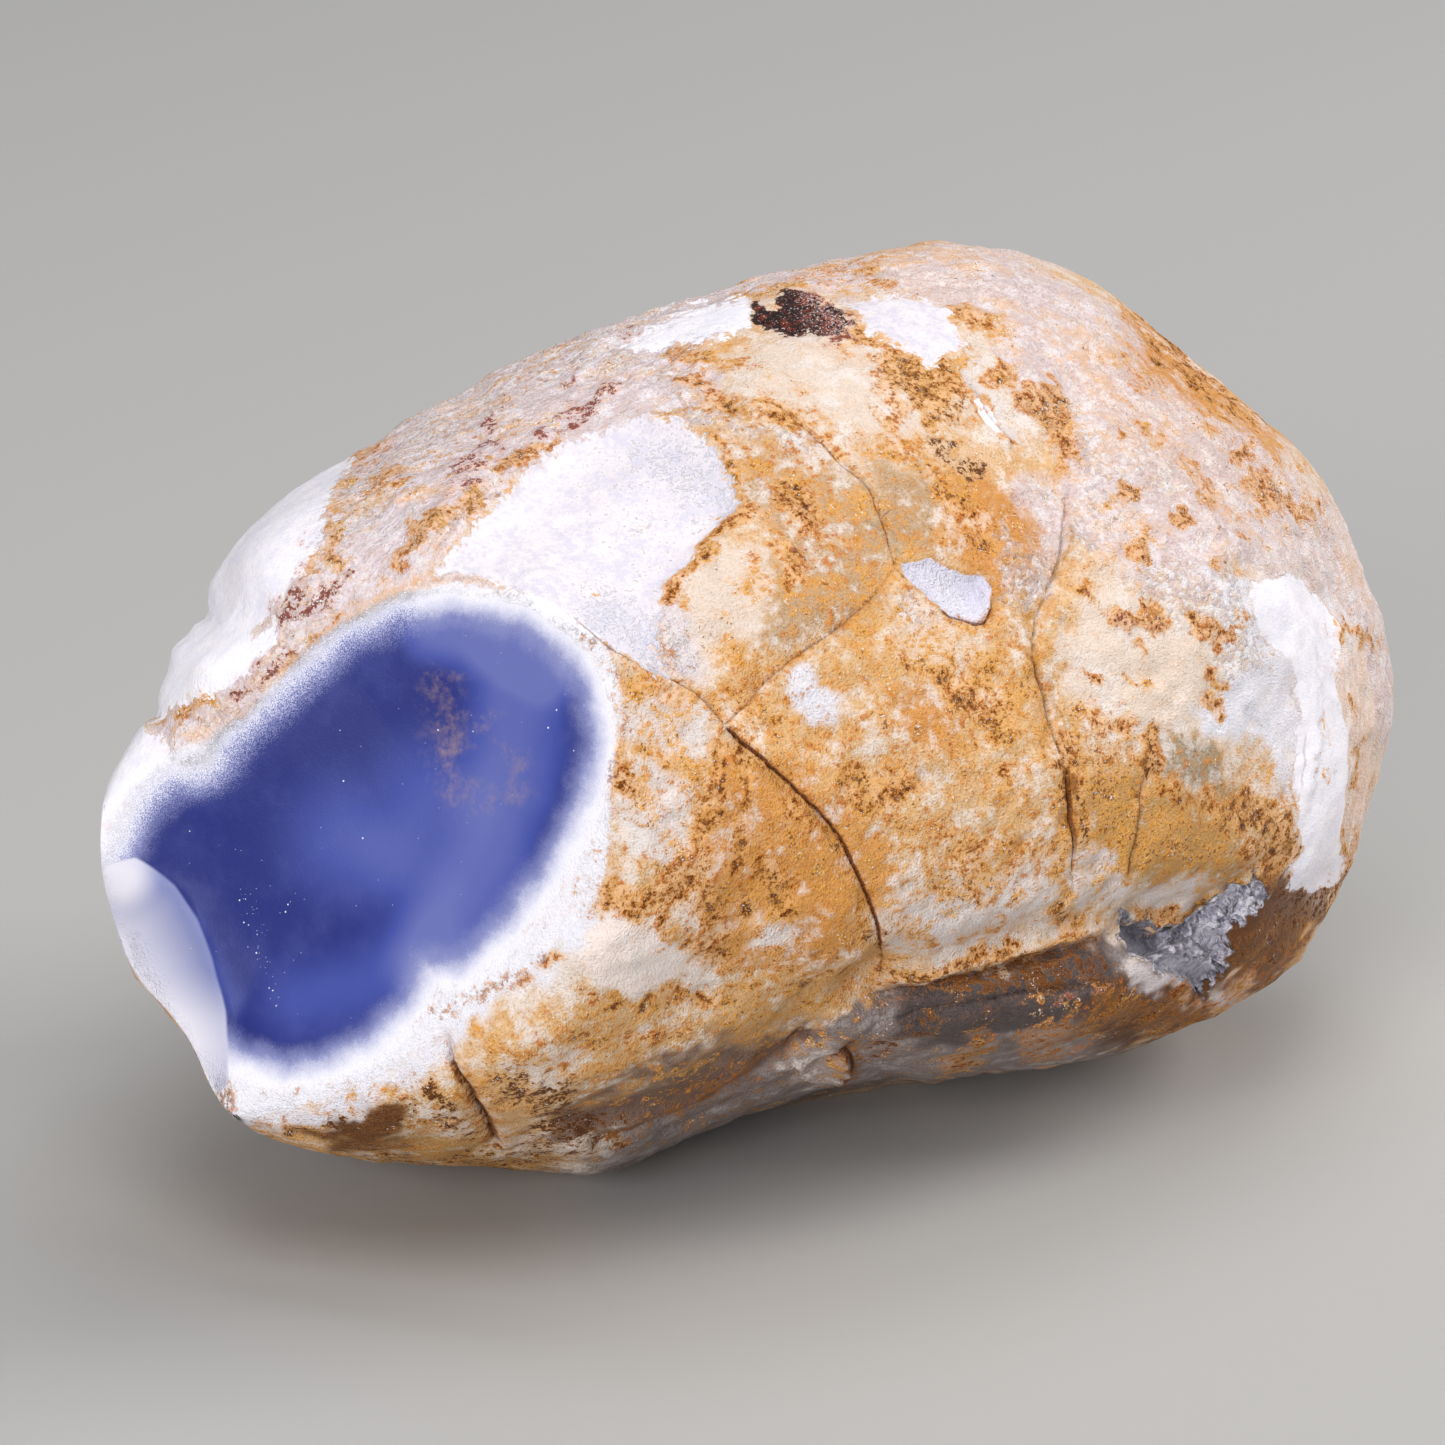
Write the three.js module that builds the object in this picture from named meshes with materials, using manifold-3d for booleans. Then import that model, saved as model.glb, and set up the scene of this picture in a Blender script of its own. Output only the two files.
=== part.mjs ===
// A rough chalcedony nodule: one natural stone, with a broken end that shows its blue inside.
// Millimetres, +Z up. The stone lies on its small flat spot at z = 0, with its long axis along X
// and the broken end towards -X.
//
// The skin is laid out from the side that shows. An eye looks at the stone from a bearing and a height.
// A place on that side is [across, rise]: millimetres to the right and upwards from the eye's aim, on the
// plane through the aim that faces the eye. The third number, towards, brings a place nearer to the eye
// along its line of sight, so the outline seen by the eye is the outline that is laid out.
import * as THREE from "three";
import { ImprovedNoise } from "three/addons/math/ImprovedNoise.js";
import { mergeVertices } from "three/addons/utils/BufferGeometryUtils.js";
import Module from "manifold-3d";

const wasm = await Module();
wasm.setup();

const { clamp, degToRad, lerp, radToDeg, smoothstep } = THREE.MathUtils;

// ---- Driving sizes ----

const eyeBearing = -35; // degrees from the -Y side round to the -X side
const eyeHeight = 20; // degrees above the table
const eyeDistance = 400;

const ballSplits = 18; // each of the 20 faces of the starting ball is split into 19 x 19
const crowding = 0.78; // facets are this much smaller facing the eye, and as much larger facing away
const halfDepth = 26.5; // from the outline's own depth to the nearest skin and to the farthest
const leanAcross = -0.33; // the thick end lies deeper
const leanRise = -0.11; // and so does the top
const seatDepth = 1; // skin worn off the lowest place, which leaves the flat spot

const lumpSize = 11; // the skin's low waves, long and short
const lumpHeight = 0.9;
const rippleSize = 4.2;
const rippleHeight = 0.3;
const waveStart = new THREE.Vector3(5.3, 9.1, 2.7); // where in the noise the waves are read

const lumpFade = 1.7; // a lump has sunk back to the skin at this many times its spread
const outlineFrom = { near: 0.72, far: 0.9 }; // the outline's small lumps start at this share of the way out
const calmRim = [0.02, 0.4]; // no lump or wave on the outline itself, full height from the second share on
const calmBreak = 3; // lumps and waves die out over this width beside the broken face

// ---- The outline, anticlockwise from the tip of the thick end ----

const middle = [1.5, 0]; // the ball is pulled out to the outline from here
const outline = [
  [37.4, 1.3], [37.1, 4], [36.1, 7.4], [33.6, 13.2], [31.5, 15.7], [28.4, 18.3],
  [24.6, 21.3], [21.9, 23.7], [18.8, 25.3], [15.7, 26.4], [14, 26.4], [11.8, 26.8],
  [7.1, 25.9], [3.2, 25.1], [-1.3, 23.6], [-6.1, 22.1], [-10.7, 20.4], [-16.3, 17.5],
  [-20.6, 14.7], [-23.2, 13.2], [-26.5, 10.4], [-28.3, 7.9], [-28.6, 5.8], [-30.1, 4.3],
  [-31.3, 1.3], [-31.5, 0.5], [-33, -1.5], [-34.1, -4], [-34.6, -7.9], [-33.9, -10.9],
  [-32.9, -13.8], [-31.5, -15.6], [-29.7, -17.3], [-28.6, -19.8], [-28, -21.4], [-26.5, -22.6],
  [-23.6, -23.7], [-19.1, -24.5], [-13.5, -24.8], [-9.7, -25], [-7.9, -25.3], [-5.4, -24.8],
  [-2.4, -23.4], [1.5, -21.8], [6, -20.6], [9.7, -20.1], [15.4, -19.4], [20.5, -18.6],
  [24.3, -17.4], [28.5, -15.4], [31.8, -13.3], [32.8, -11.8], [34.5, -8.9], [36.4, -2.6],
];

// ---- The broken end ----

const breakFace = {
  // on the left the face runs out past the outline
  rim: [
    [-37, -9], [-36.4, -5], [-33.8, -3.2], [-31.4, -1.6], [-28.8, -1.1], [-26.2, 0.6], [-22.4, 4.6],
    [-18.2, 7], [-14.9, 7.9], [-10.1, 7.1], [-6.8, 5], [-5.6, 1.8], [-6, -2.1],
    [-6.2, -6], [-6.9, -9.9], [-10.1, -13.3], [-14, -16.4], [-17.9, -18.8], [-21.8, -20.9],
    [-25.6, -21.9], [-28, -24], [-31, -20.5], [-35, -14],
  ],
  blend: 6.5, // the body's skin comes round to the face's plane over this width
  snap: 0.75, // skin corners this close to the rim are moved onto it, which keeps its edge clean
  towards: 31.8, // the face's plane: its depth at [0, 0] and how it slopes
  slopeAcross: 0.42,
  slopeRise: 0.06,
  dish: 1.1, // the face is hollowed a little, as a shell-shaped break is
  dishReach: 9,
};

// A chip off the tip of the broken end: it falls away from this ridge to the outline.
const chip = {
  ridge: [
    [-37, -6.4], [-32.4, -7.8], [-31.2, -8.5], [-30.1, -9.4], [-29.4, -10.8],
    [-28.6, -12.4], [-28, -14.8], [-27.6, -16.1], [-27.4, -18.8], [-27.4, -24],
  ],
  fall: 0.95,
  starts: [-5, -13], // the fall grows from nothing to its full slope between these rises
};

// ---- Lumps, creases, ledges and scars of the skin ----
// far: true puts a feature on the side away from the eye, at the place seen through the stone.

const lumps = [
  { at: [-24.9, 9.6], spread: [3.6, 3], lift: 1.2 },
  { at: [-28.6, 3], spread: [2.2, 2], lift: 1 },
  { at: [-31.6, -2.6], spread: [2, 1.5], lift: 0.8 },
  { at: [-17.5, 12.6], spread: [5, 2.2], lift: 0.9 },
  { at: [2.5, 8], spread: [5.5, 5], lift: 0.5 },
  { at: [13.6, -3], spread: [4.6, 9], lift: 0.7 },
  { at: [1, -9], spread: [6.5, 6], lift: 0.4 },
  { at: [26.5, 6], spread: [5, 9], lift: 1.2 },
  { at: [26, -5], spread: [4, 4.5], lift: 0.5 },
  { at: [18.5, -16.2], spread: [9, 2.2], lift: 0.9 },
  { at: [-9, -18.5], spread: [7, 3], lift: 0.5 },
  { at: [12.5, 20.5], spread: [4, 3], lift: 0.4 },
  { at: [20, 18], spread: [3.4, 5], lift: 0.5 },
  { at: [-12, 8], spread: [10, 7], lift: 0.9, far: true },
  { at: [14, 10], spread: [8, 9], lift: 0.8, far: true },
  { at: [5.5, -18.2], spread: [7.5, 3.8], lift: 1.5, far: true },
  { at: [-12, -19.5], spread: [8, 5.5], lift: -0.9, far: true },
  { at: [26, -4], spread: [6, 7], lift: 0.7, far: true },
  { at: [-24, -10], spread: [7, 6], lift: -1, far: true },
  { at: [5, 16], spread: [9, 3], lift: -0.7, far: true },
];

const creases = [
  { path: [[-29, 5.8], [-26.5, 6.1], [-23.3, 5]], halfWidth: 2.1, depth: 0.8 },
  { path: [[-31.6, 0.6], [-29.4, 0.4], [-28, -1.4]], halfWidth: 1.9, depth: 0.8 },
  { path: [[-22.6, 9.2], [-20.8, 5.6], [-24.4, 2.6], [-28, 0.2]], halfWidth: 1.8, depth: 0.5 },
  { path: [[-6.8, -23], [-1.2, -20.7], [3.2, -17.9], [8.8, -14.9]], halfWidth: 2.4, depth: 1.2 },
  { path: [[8.8, -14.9], [14.3, -13.5], [18.8, -12.4], [23, -11.2], [27, -10.4]], halfWidth: 3, depth: 1.9 },
  { path: [[17.6, 25], [19.2, 19], [18.6, 13.5], [17.8, 5]], halfWidth: 2.4, depth: 0.5 },
  { path: [[0.7, -1.5], [1.4, -7.1], [1.2, -11]], halfWidth: 1.8, depth: 0.3 },
  { path: [[-20, 2], [-8, 0], [4, 3], [16, 0]], halfWidth: 3, depth: 0.7, far: true },
  { path: [[20, 14], [17, 2], [21, -8]], halfWidth: 2.6, depth: 0.8, far: true },
];

// A ledge stands proud along its path, on the path's left, and sinks back to the skin further off.
const ledges = [
  { path: [[-10.7, 15], [-12.6, 12.6], [-14.6, 10.7], [-16.2, 8.4]], height: 0.8, reach: 3, right: true },
  { path: [[19.4, -9.9], [19.6, -6.5], [19.2, -3.2], [18.5, 0.1], [17.5, 3.5]], height: 0.6, reach: 4 },
  { path: [[8.8, -14], [8.8, -12.1], [7.4, -8.1], [3.8, -3.4], [0.1, -0.2]], height: 0.5, reach: 4 },
  { path: [[22.5, -8.2], [23.2, -4.3], [23.8, -0.7]], height: 0.4, reach: 3, right: true },
  { path: [[31.5, -8.2], [32.3, -4.3], [31.7, 1.2], [29.3, 7.4]], height: 0.8, reach: 3.2, right: true },
  { path: [[-10, 14], [0, 11], [10, 13]], height: 0.9, reach: 4, far: true },
  { path: [[8, -12], [12, -4], [10, 5]], height: 0.8, reach: 4, far: true },
];

// A scar is a patch of skin that has flaked off (or, with a lift above zero, that has stayed on).
const scars = [
  {
    rim: [
      [-16, 8.7], [-14, 11.2], [-11.8, 13.8], [-8.5, 16.2], [-4.6, 17.1], [-1.2, 16.2], [1, 13.5],
      [0.7, 10.7], [-1.8, 8.8], [-3.2, 6.2], [-3.4, 3.9], [-6.4, 6], [-10.1, 8.4], [-13.6, 9],
    ],
    fold: 1,
    lift: -0.7,
  },
  { rim: [[9.9, 8.5], [12.1, 9], [14.9, 7.4], [15, 5.6], [13, 5.2], [11.2, 6.3]], fold: 0.7, lift: -0.5 },
  { rim: [[29.6, -11.6], [31.2, -9], [33.6, -6.6], [34.4, -8.8], [33, -11.4]], fold: 0.8, lift: -0.9 },
  { rim: [[-22, -16], [-30, -4], [-26, 8], [-16, 4], [-14, -10]], fold: 2.5, lift: -1.1, far: true },
  { rim: [[24, 14], [32, 4], [28, -8], [20, 0]], fold: 2, lift: -0.8, far: true },
];

// ---- Cracks and the hollow, cut into the skin ----

const cracks = [
  { path: [[-8.6, 6], [-6.8, 4.6], [-4.6, 3.2], [-1.8, 1.8], [0.1, -0.2]], width: 0.6, depth: 0.5 },
  {
    path: [[0.1, -0.2], [3.8, -3.4], [6.1, -5.8], [7.4, -8.1], [8.3, -10.1], [8.8, -12.1], [8.8, -14.6]],
    width: 0.8,
    depth: 0.9,
  },
  { path: [[0.1, -0.2], [2.6, 2.4], [6, 5], [9.6, 8.5], [9, 10.7], [8.1, 12.9]], width: 0.6, depth: 0.6 },
  {
    path: [[18.9, 9], [17.6, 5.7], [17.5, 3.5], [18.5, 0.1], [19.2, -3.2], [19.6, -6.5]],
    width: 0.7,
    depth: 0.8,
  },
  { path: [[23.8, -0.7], [23.2, -4.3], [22.5, -8.2]], width: 0.5, depth: 0.5 },
  { path: [[-15.5, -17.1], [-14.9, -19.3], [-13.6, -21.5], [-12.5, -23.3]], width: 0.7, depth: 0.7 },
  { path: [[12.2, 20.6], [13.5, 18.8], [14.9, 16.5]], width: 0.9, depth: 0.5 },
];
const crackRise = 0.3; // the cutter starts this far above the skin
const crackStride = 1.4; // and has a corner about this often
const crackTip = 0.25; // a crack's width and depth at its tips, as a share of those at its middle
const crackSwell = 0.6; // below 1 a crack reaches its full size soon after its tip
const tipShare = 0.04; // of the crack's length, which keeps its very ends from closing

// Broken-out lumps at the lower right: a place, a radius, and how far the lump's centre lies under the skin.
const hollow = [
  { at: [23.2, -10.4], radius: 1.4, under: 0 },
  { at: [24.8, -11.2], radius: 1.9, under: -0.2 },
  { at: [26.7, -11.4], radius: 2.1, under: -0.3 },
  { at: [28.3, -9.8], radius: 1.7, under: -0.3 },
  { at: [29.4, -8.4], radius: 1.1, under: -0.3 },
  { at: [26, -13.4], radius: 1.2, under: -0.4 },
];
const hollowTurn = { x: 0.7, z: 1.3 }; // radians from one lump to the next, so no two stand alike

// ---- The eye's axes ----

const bearing = degToRad(eyeBearing);
const height = degToRad(eyeHeight);
const acrossAxis = new THREE.Vector3(Math.cos(bearing), Math.sin(bearing), 0);
const eyeAxis = new THREE.Vector3(
  Math.sin(bearing) * Math.cos(height),
  -Math.cos(bearing) * Math.cos(height),
  Math.sin(height),
);
const riseAxis = new THREE.Vector3().crossVectors(eyeAxis, acrossAxis);
const eye = eyeAxis.clone().multiplyScalar(eyeDistance);

function sighted(across, rise, towards) {
  const share = 1 - towards / eyeDistance;
  return new THREE.Vector3()
    .addScaledVector(acrossAxis, across * share)
    .addScaledVector(riseAxis, rise * share)
    .addScaledVector(eyeAxis, towards);
}

// ---- Distances on the layout plane ----

// How far a place is from a path, and on which side of it: above zero on the left.
function offPath(path, across, rise) {
  let best = Infinity;
  let side = 1;
  for (let i = 0; i + 1 < path.length; i++) {
    const [ax, ay] = path[i];
    const [bx, by] = path[i + 1];
    const [dx, dy] = [bx - ax, by - ay];
    const along = clamp(((across - ax) * dx + (rise - ay) * dy) / (dx * dx + dy * dy), 0, 1);
    const gap = Math.hypot(across - ax - dx * along, rise - ay - dy * along);
    if (gap < best) {
      best = gap;
      side = Math.sign(dx * (rise - ay) - dy * (across - ax)) || 1;
    }
  }
  return { gap: best, side };
}

// How deep a place lies inside a closed rim: below zero outside it.
function insideBy(rim, across, rise) {
  let inside = false;
  for (let i = 0, j = rim.length - 1; i < rim.length; j = i++) {
    const [ax, ay] = rim[i];
    const [bx, by] = rim[j];
    if (ay > rise !== by > rise && across < ((bx - ax) * (rise - ay)) / (by - ay) + ax) inside = !inside;
  }
  const { gap } = offPath([...rim, rim[0]], across, rise);
  return inside ? gap : -gap;
}

// ---- The body ----

// The outline's distance from the middle at each degree, and the same with the small lumps evened out.
const evenOver = 20; // degrees to each side
const outlineSteps = 3600;
const sharpReach = new Array(360).fill(0);
new THREE.CatmullRomCurve3(
  outline.map(([across, rise]) => new THREE.Vector3(across - middle[0], rise - middle[1], 0)),
  true,
  "centripetal",
)
  .getPoints(outlineSteps)
  .forEach((p) => {
    sharpReach[wholeDegree(Math.atan2(p.y, p.x))] = Math.hypot(p.x, p.y);
  });
const evenReach = sharpReach.map((_, degree) => {
  let sum = 0;
  for (let step = -evenOver; step <= evenOver; step++) {
    sum += sharpReach[(degree + step + 360) % 360];
  }
  return sum / (2 * evenOver + 1);
});

function wholeDegree(turn) {
  return (Math.floor(radToDeg(turn)) + 360) % 360;
}

function readAround(reach, turn) {
  const degrees = radToDeg(turn) - 0.5;
  const low = Math.floor(degrees);
  return lerp(reach[(low + 360) % 360], reach[(low + 361) % 360], degrees - low);
}

// The broken face's depth at a place: its dished plane, less the chip beyond the ridge.
function breakDepth(across, rise) {
  const inward = Math.max(insideBy(breakFace.rim, across, rise), 0);
  const dished = breakFace.dish * smoothstep(inward, 0, breakFace.dishReach);
  const plane = breakFace.towards + breakFace.slopeAcross * across + breakFace.slopeRise * rise;
  const { gap, side } = offPath(chip.ridge, across, rise);
  const fall = chip.fall * smoothstep(-rise, -chip.starts[0], -chip.starts[1]);
  const chipped = side < 0 ? fall * gap : 0;
  return plane - dished - chipped;
}

// A place moved onto the broken face's rim if it is close to it.
function snapped(across, rise) {
  const inward = insideBy(breakFace.rim, across, rise);
  if (Math.abs(inward) > breakFace.snap) return [across, rise];
  const step = 0.01;
  const uphillAcross = (insideBy(breakFace.rim, across + step, rise) - inward) / step;
  const uphillRise = (insideBy(breakFace.rim, across, rise + step) - inward) / step;
  return [across - uphillAcross * inward, rise - uphillRise * inward];
}

// What the lumps, creases, ledges and scars add to the skin at a place.
function skinLift(across, rise, isFar) {
  const here = ({ far = false }) => far === isFar;
  let lift = 0;
  for (const { at, spread, lift: peak } of lumps.filter(here)) {
    const away = Math.hypot((across - at[0]) / spread[0], (rise - at[1]) / spread[1]);
    lift += peak * (1 - smoothstep(away, 0, lumpFade));
  }
  for (const { path, halfWidth, depth } of creases.filter(here)) {
    lift -= depth * (1 - smoothstep(offPath(path, across, rise).gap, 0, halfWidth));
  }
  for (const { path, height: step, reach, right } of ledges.filter(here)) {
    const { gap, side } = offPath(path, across, rise);
    const proud = right ? -side : side;
    lift += proud > 0 ? step * (1 - smoothstep(gap, 0, reach)) : 0;
  }
  for (const { rim, fold, lift: step } of scars.filter(here)) {
    lift += step * smoothstep(insideBy(rim, across, rise), 0, fold);
  }
  return lift;
}

const grain = new ImprovedNoise();
function wave(place, size) {
  const { x, y, z } = place.clone().divideScalar(size).add(waveStart);
  return grain.noise(x, y, z);
}

// Where a point of the starting ball, in the eye's axes, ends up on the stone.
function skinPoint(ball) {
  const isFar = ball.z < 0;
  const rim = Math.hypot(ball.x, ball.y);
  const turn = Math.atan2(ball.y, ball.x);
  const nearOutline = smoothstep(rim, isFar ? outlineFrom.far : outlineFrom.near, 1);
  const out = lerp(readAround(evenReach, turn), readAround(sharpReach, turn), nearOutline);
  let across = middle[0] + ball.x * out;
  let rise = middle[1] + ball.y * out;
  let towards = (leanAcross * ball.x + leanRise * ball.y) * out + halfDepth * ball.z;

  if (!isFar) {
    [across, rise] = snapped(across, rise);
  }
  const inward = isFar ? -Infinity : insideBy(breakFace.rim, across, rise);
  const outward = Math.max(-inward, 0);
  const face = breakDepth(across, rise);
  const normal = new THREE.Vector3(
    ball.x / out - (leanAcross * ball.z) / halfDepth,
    ball.y / out - (leanRise * ball.z) / halfDepth,
    ball.z / halfDepth,
  ).normalize();
  const place = new THREE.Vector3(across, rise, towards);
  const calm = smoothstep(Math.abs(ball.z), ...calmRim) * smoothstep(outward, 0, calmBreak);
  const waves = lumpHeight * wave(place, lumpSize) + rippleHeight * wave(place, rippleSize);
  const lift = (skinLift(across, rise, isFar) + waves) * calm;

  if (!isFar) {
    const nearness = Math.max(1 - outward / breakFace.blend, 0);
    towards = lerp(towards, face, nearness ** 2);
  }
  across += normal.x * lift;
  rise += normal.y * lift;
  towards += normal.z * lift;
  return sighted(across, rise, towards);
}

// Draws a point of the ball towards the eye's pole, so the side that shows has the finer facets.
function crowded(ball) {
  const turn = Math.atan2(ball.y, ball.x);
  const fromPole = 2 * Math.atan2(crowding * Math.hypot(ball.x, ball.y), 1 + ball.z);
  return new THREE.Vector3(
    Math.sin(fromPole) * Math.cos(turn),
    Math.sin(fromPole) * Math.sin(turn),
    Math.cos(fromPole),
  );
}

function wholeSkin() {
  const ball = new THREE.IcosahedronGeometry(1, ballSplits);
  ball.deleteAttribute("normal");
  ball.deleteAttribute("uv");
  const skin = mergeVertices(ball, 1e-5);
  const place = skin.getAttribute("position");
  const point = new THREE.Vector3();
  for (let i = 0; i < place.count; i++) {
    const moved = skinPoint(crowded(point.fromBufferAttribute(place, i)));
    place.setXYZ(i, moved.x, moved.y, moved.z);
  }
  return skin;
}

// ---- Cutters ----

function toSolid(geometry) {
  return new wasm.Manifold(
    new wasm.Mesh({
      numProp: 3,
      vertProperties: new Float32Array(geometry.getAttribute("position").array),
      triVerts: new Uint32Array(geometry.getIndex().array),
    }),
  );
}

// The skin's point and outward direction at a place of the side that shows.
function touch(skinMesh, across, rise) {
  const aim = sighted(across, rise, 0).sub(eye).normalize();
  const [hit] = new THREE.Raycaster(eye, aim).intersectObject(skinMesh);
  return { point: hit.point, out: hit.face.normal.clone() };
}

// A three-sided cutter that follows a crack: two corners above the skin and one below it.
function crackCutter(skinMesh, { path, width, depth }) {
  const corners2d = path.map(([across, rise]) => new THREE.Vector3(across, rise, 0));
  const curve = new THREE.CatmullRomCurve3(corners2d, false, "centripetal");
  const count = Math.ceil(curve.getLength() / crackStride);
  const touches = curve.getSpacedPoints(count).map((p) => touch(skinMesh, p.x, p.y));
  const corners = [];
  touches.forEach(({ point, out }, i) => {
    const before = touches[Math.max(i - 1, 0)].point;
    const after = touches[Math.min(i + 1, count)].point;
    const sideways = after.clone().sub(before).cross(out).normalize();
    const fromTip = Math.sin(Math.PI * clamp(i / count, tipShare, 1 - tipShare));
    const taper = lerp(crackTip, 1, fromTip ** crackSwell);
    const top = point.clone().addScaledVector(out, crackRise);
    corners.push(top.clone().addScaledVector(sideways, (width / 2) * taper));
    corners.push(top.clone().addScaledVector(sideways, (-width / 2) * taper));
    corners.push(point.clone().addScaledVector(out, -depth * taper));
  });
  const faces = [0, 1, 2];
  for (let i = 0; i < count; i++) {
    for (let side = 0; side < 3; side++) {
      const a = 3 * i + side;
      const b = 3 * i + ((side + 1) % 3);
      faces.push(a, b + 3, b, a, a + 3, b + 3);
    }
  }
  const last = 3 * count;
  faces.push(last, last + 2, last + 1);
  const cutter = new THREE.BufferGeometry();
  cutter.setAttribute("position", new THREE.Float32BufferAttribute(corners.flatMap((p) => p.toArray()), 3));
  cutter.setIndex(faces);
  return toSolid(cutter);
}

function hollowCutter(skinMesh, { at, radius, under }, turn) {
  const lump = new THREE.DodecahedronGeometry(radius, 0);
  lump.deleteAttribute("normal");
  lump.deleteAttribute("uv");
  lump.rotateX(hollowTurn.x * turn);
  lump.rotateZ(hollowTurn.z * turn);
  const { point, out } = touch(skinMesh, at[0], at[1]);
  point.addScaledVector(out, -under);
  lump.translate(point.x, point.y, point.z);
  return toSolid(mergeVertices(lump, 1e-4));
}

// ---- The stone ----

function buildStone() {
  const skin = wholeSkin();
  const skinMesh = new THREE.Mesh(skin);
  let stone = toSolid(skin);
  for (const crack of cracks) {
    stone = stone.subtract(crackCutter(skinMesh, crack));
  }
  hollow.forEach((lump, i) => {
    stone = stone.subtract(hollowCutter(skinMesh, lump, i + 1));
  });
  // crumbs that a crossing of two cracks cuts loose are left out
  [stone] = stone.decompose().sort((a, b) => b.volume() - a.volume());
  const lowest = stone.boundingBox().min[2];
  stone = stone.trimByPlane([0, 0, 1], lowest + seatDepth);
  const { min, max } = stone.boundingBox();
  return stone.translate([-(min[0] + max[0]) / 2, -(min[1] + max[1]) / 2, -min[2]]);
}

function toGeometry(solid) {
  const { numProp, vertProperties, triVerts } = solid.getMesh();
  const geometry = new THREE.BufferGeometry();
  const flat = [];
  for (let i = 0; i < vertProperties.length; i += numProp) {
    flat.push(vertProperties[i], vertProperties[i + 1], vertProperties[i + 2]);
  }
  geometry.setAttribute("position", new THREE.Float32BufferAttribute(flat, 3));
  geometry.setIndex([...triVerts]);
  return geometry;
}

const stoneMesh = new THREE.Mesh(
  toGeometry(buildStone()),
  new THREE.MeshStandardMaterial({ color: "#d9c3a3", roughness: 0.75, metalness: 0 }),
);
stoneMesh.name = "chalcedony_nodule";

const part = new THREE.Group();
part.add(stoneMesh);

export default part;
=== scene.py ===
import bpy
import math
import numpy as np
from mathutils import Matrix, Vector, noise


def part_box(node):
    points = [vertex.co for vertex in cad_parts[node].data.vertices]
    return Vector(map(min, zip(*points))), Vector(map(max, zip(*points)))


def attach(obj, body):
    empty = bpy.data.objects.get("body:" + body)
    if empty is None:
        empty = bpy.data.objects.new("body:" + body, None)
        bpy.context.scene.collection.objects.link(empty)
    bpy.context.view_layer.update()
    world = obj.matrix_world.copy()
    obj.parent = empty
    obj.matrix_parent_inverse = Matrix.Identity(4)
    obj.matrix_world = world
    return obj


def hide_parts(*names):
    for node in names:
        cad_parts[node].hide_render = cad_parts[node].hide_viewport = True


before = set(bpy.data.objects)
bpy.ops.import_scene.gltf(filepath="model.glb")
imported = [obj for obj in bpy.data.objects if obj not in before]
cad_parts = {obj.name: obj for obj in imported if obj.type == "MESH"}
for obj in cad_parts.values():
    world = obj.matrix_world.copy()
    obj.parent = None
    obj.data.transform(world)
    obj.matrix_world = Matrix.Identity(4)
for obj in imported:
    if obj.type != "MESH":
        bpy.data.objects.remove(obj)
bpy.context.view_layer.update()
print("frame loaded")

mm = 0.001
farOff = 1e6  # mm, further than anything
outside = -6  # mm inside a rim, for places that the rim has nothing to do with
wellOutside = -30

# The stone is laid out from the side that shows. A place is (across, rise): mm to the right and upwards
# from the aim, on the plane through the aim that faces the camera.
sight = {
    "bearing": -35,  # degrees from the -Y side round to the -X side
    "height": 20,  # degrees above the table
    "distance": 400,
    "aim": (-2.086, 0.299, 22.725),
    "fieldWidth": 80.28,  # what the camera takes in at the aim
    "sensor": 36,
    "clip": (0.02, 20),
}
bearing, height = math.radians(sight["bearing"]), math.radians(sight["height"])
acrossAxis = np.array((math.cos(bearing), math.sin(bearing), 0))
flatShare = math.cos(height)
backAxis = np.array((math.sin(bearing) * flatShare, -math.cos(bearing) * flatShare, math.sin(height)))
riseAxis = np.cross(backAxis, acrossAxis)
aim = np.array(sight["aim"])
eyePlace = aim + sight["distance"] * backAxis


# across, rise and how far in front of the aim's plane, of points in mm
def layoutOf(points):
    away = points - aim
    towards = away @ backAxis
    share = sight["distance"] / (sight["distance"] - towards)
    return (away @ acrossAxis) * share, (away @ riseAxis) * share, towards


def placeAt(across, rise, towards):
    share = 1 - towards / sight["distance"]
    sideways = np.outer(across * share, acrossAxis) + np.outer(rise * share, riseAxis)
    return aim + sideways + np.outer(towards, backAxis)


def facingOf(places, normals):
    towardsEye = eyePlace - places
    towardsEye /= np.linalg.norm(towardsEye, axis=1)[:, None]
    return np.einsum("ij,ij->i", normals, towardsEye)


def ease(value, low, high):
    part = np.clip((value - low) / (high - low), 0, 1)
    return part * part * (3 - 2 * part)


# distance to a path in mm, which side of it (above zero on the left), how far along it, and its length
def offPath(path, across, rise):
    gap = np.full(len(across), farOff)
    side = np.ones(len(across))
    along = np.zeros(len(across))
    start = 0.0
    for (ax, ay), (bx, by) in zip(path, path[1:]):
        dx, dy = bx - ax, by - ay
        length = math.hypot(dx, dy)
        part = np.clip(((across - ax) * dx + (rise - ay) * dy) / length**2, 0, 1)
        here = np.hypot(across - ax - dx * part, rise - ay - dy * part)
        nearer = here < gap
        gap = np.where(nearer, here, gap)
        side = np.where(nearer, np.where(dx * (rise - ay) - dy * (across - ax) < 0, -1.0, 1.0), side)
        along = np.where(nearer, start + part * length, along)
        start += length
    return gap, side, along, start


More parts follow.
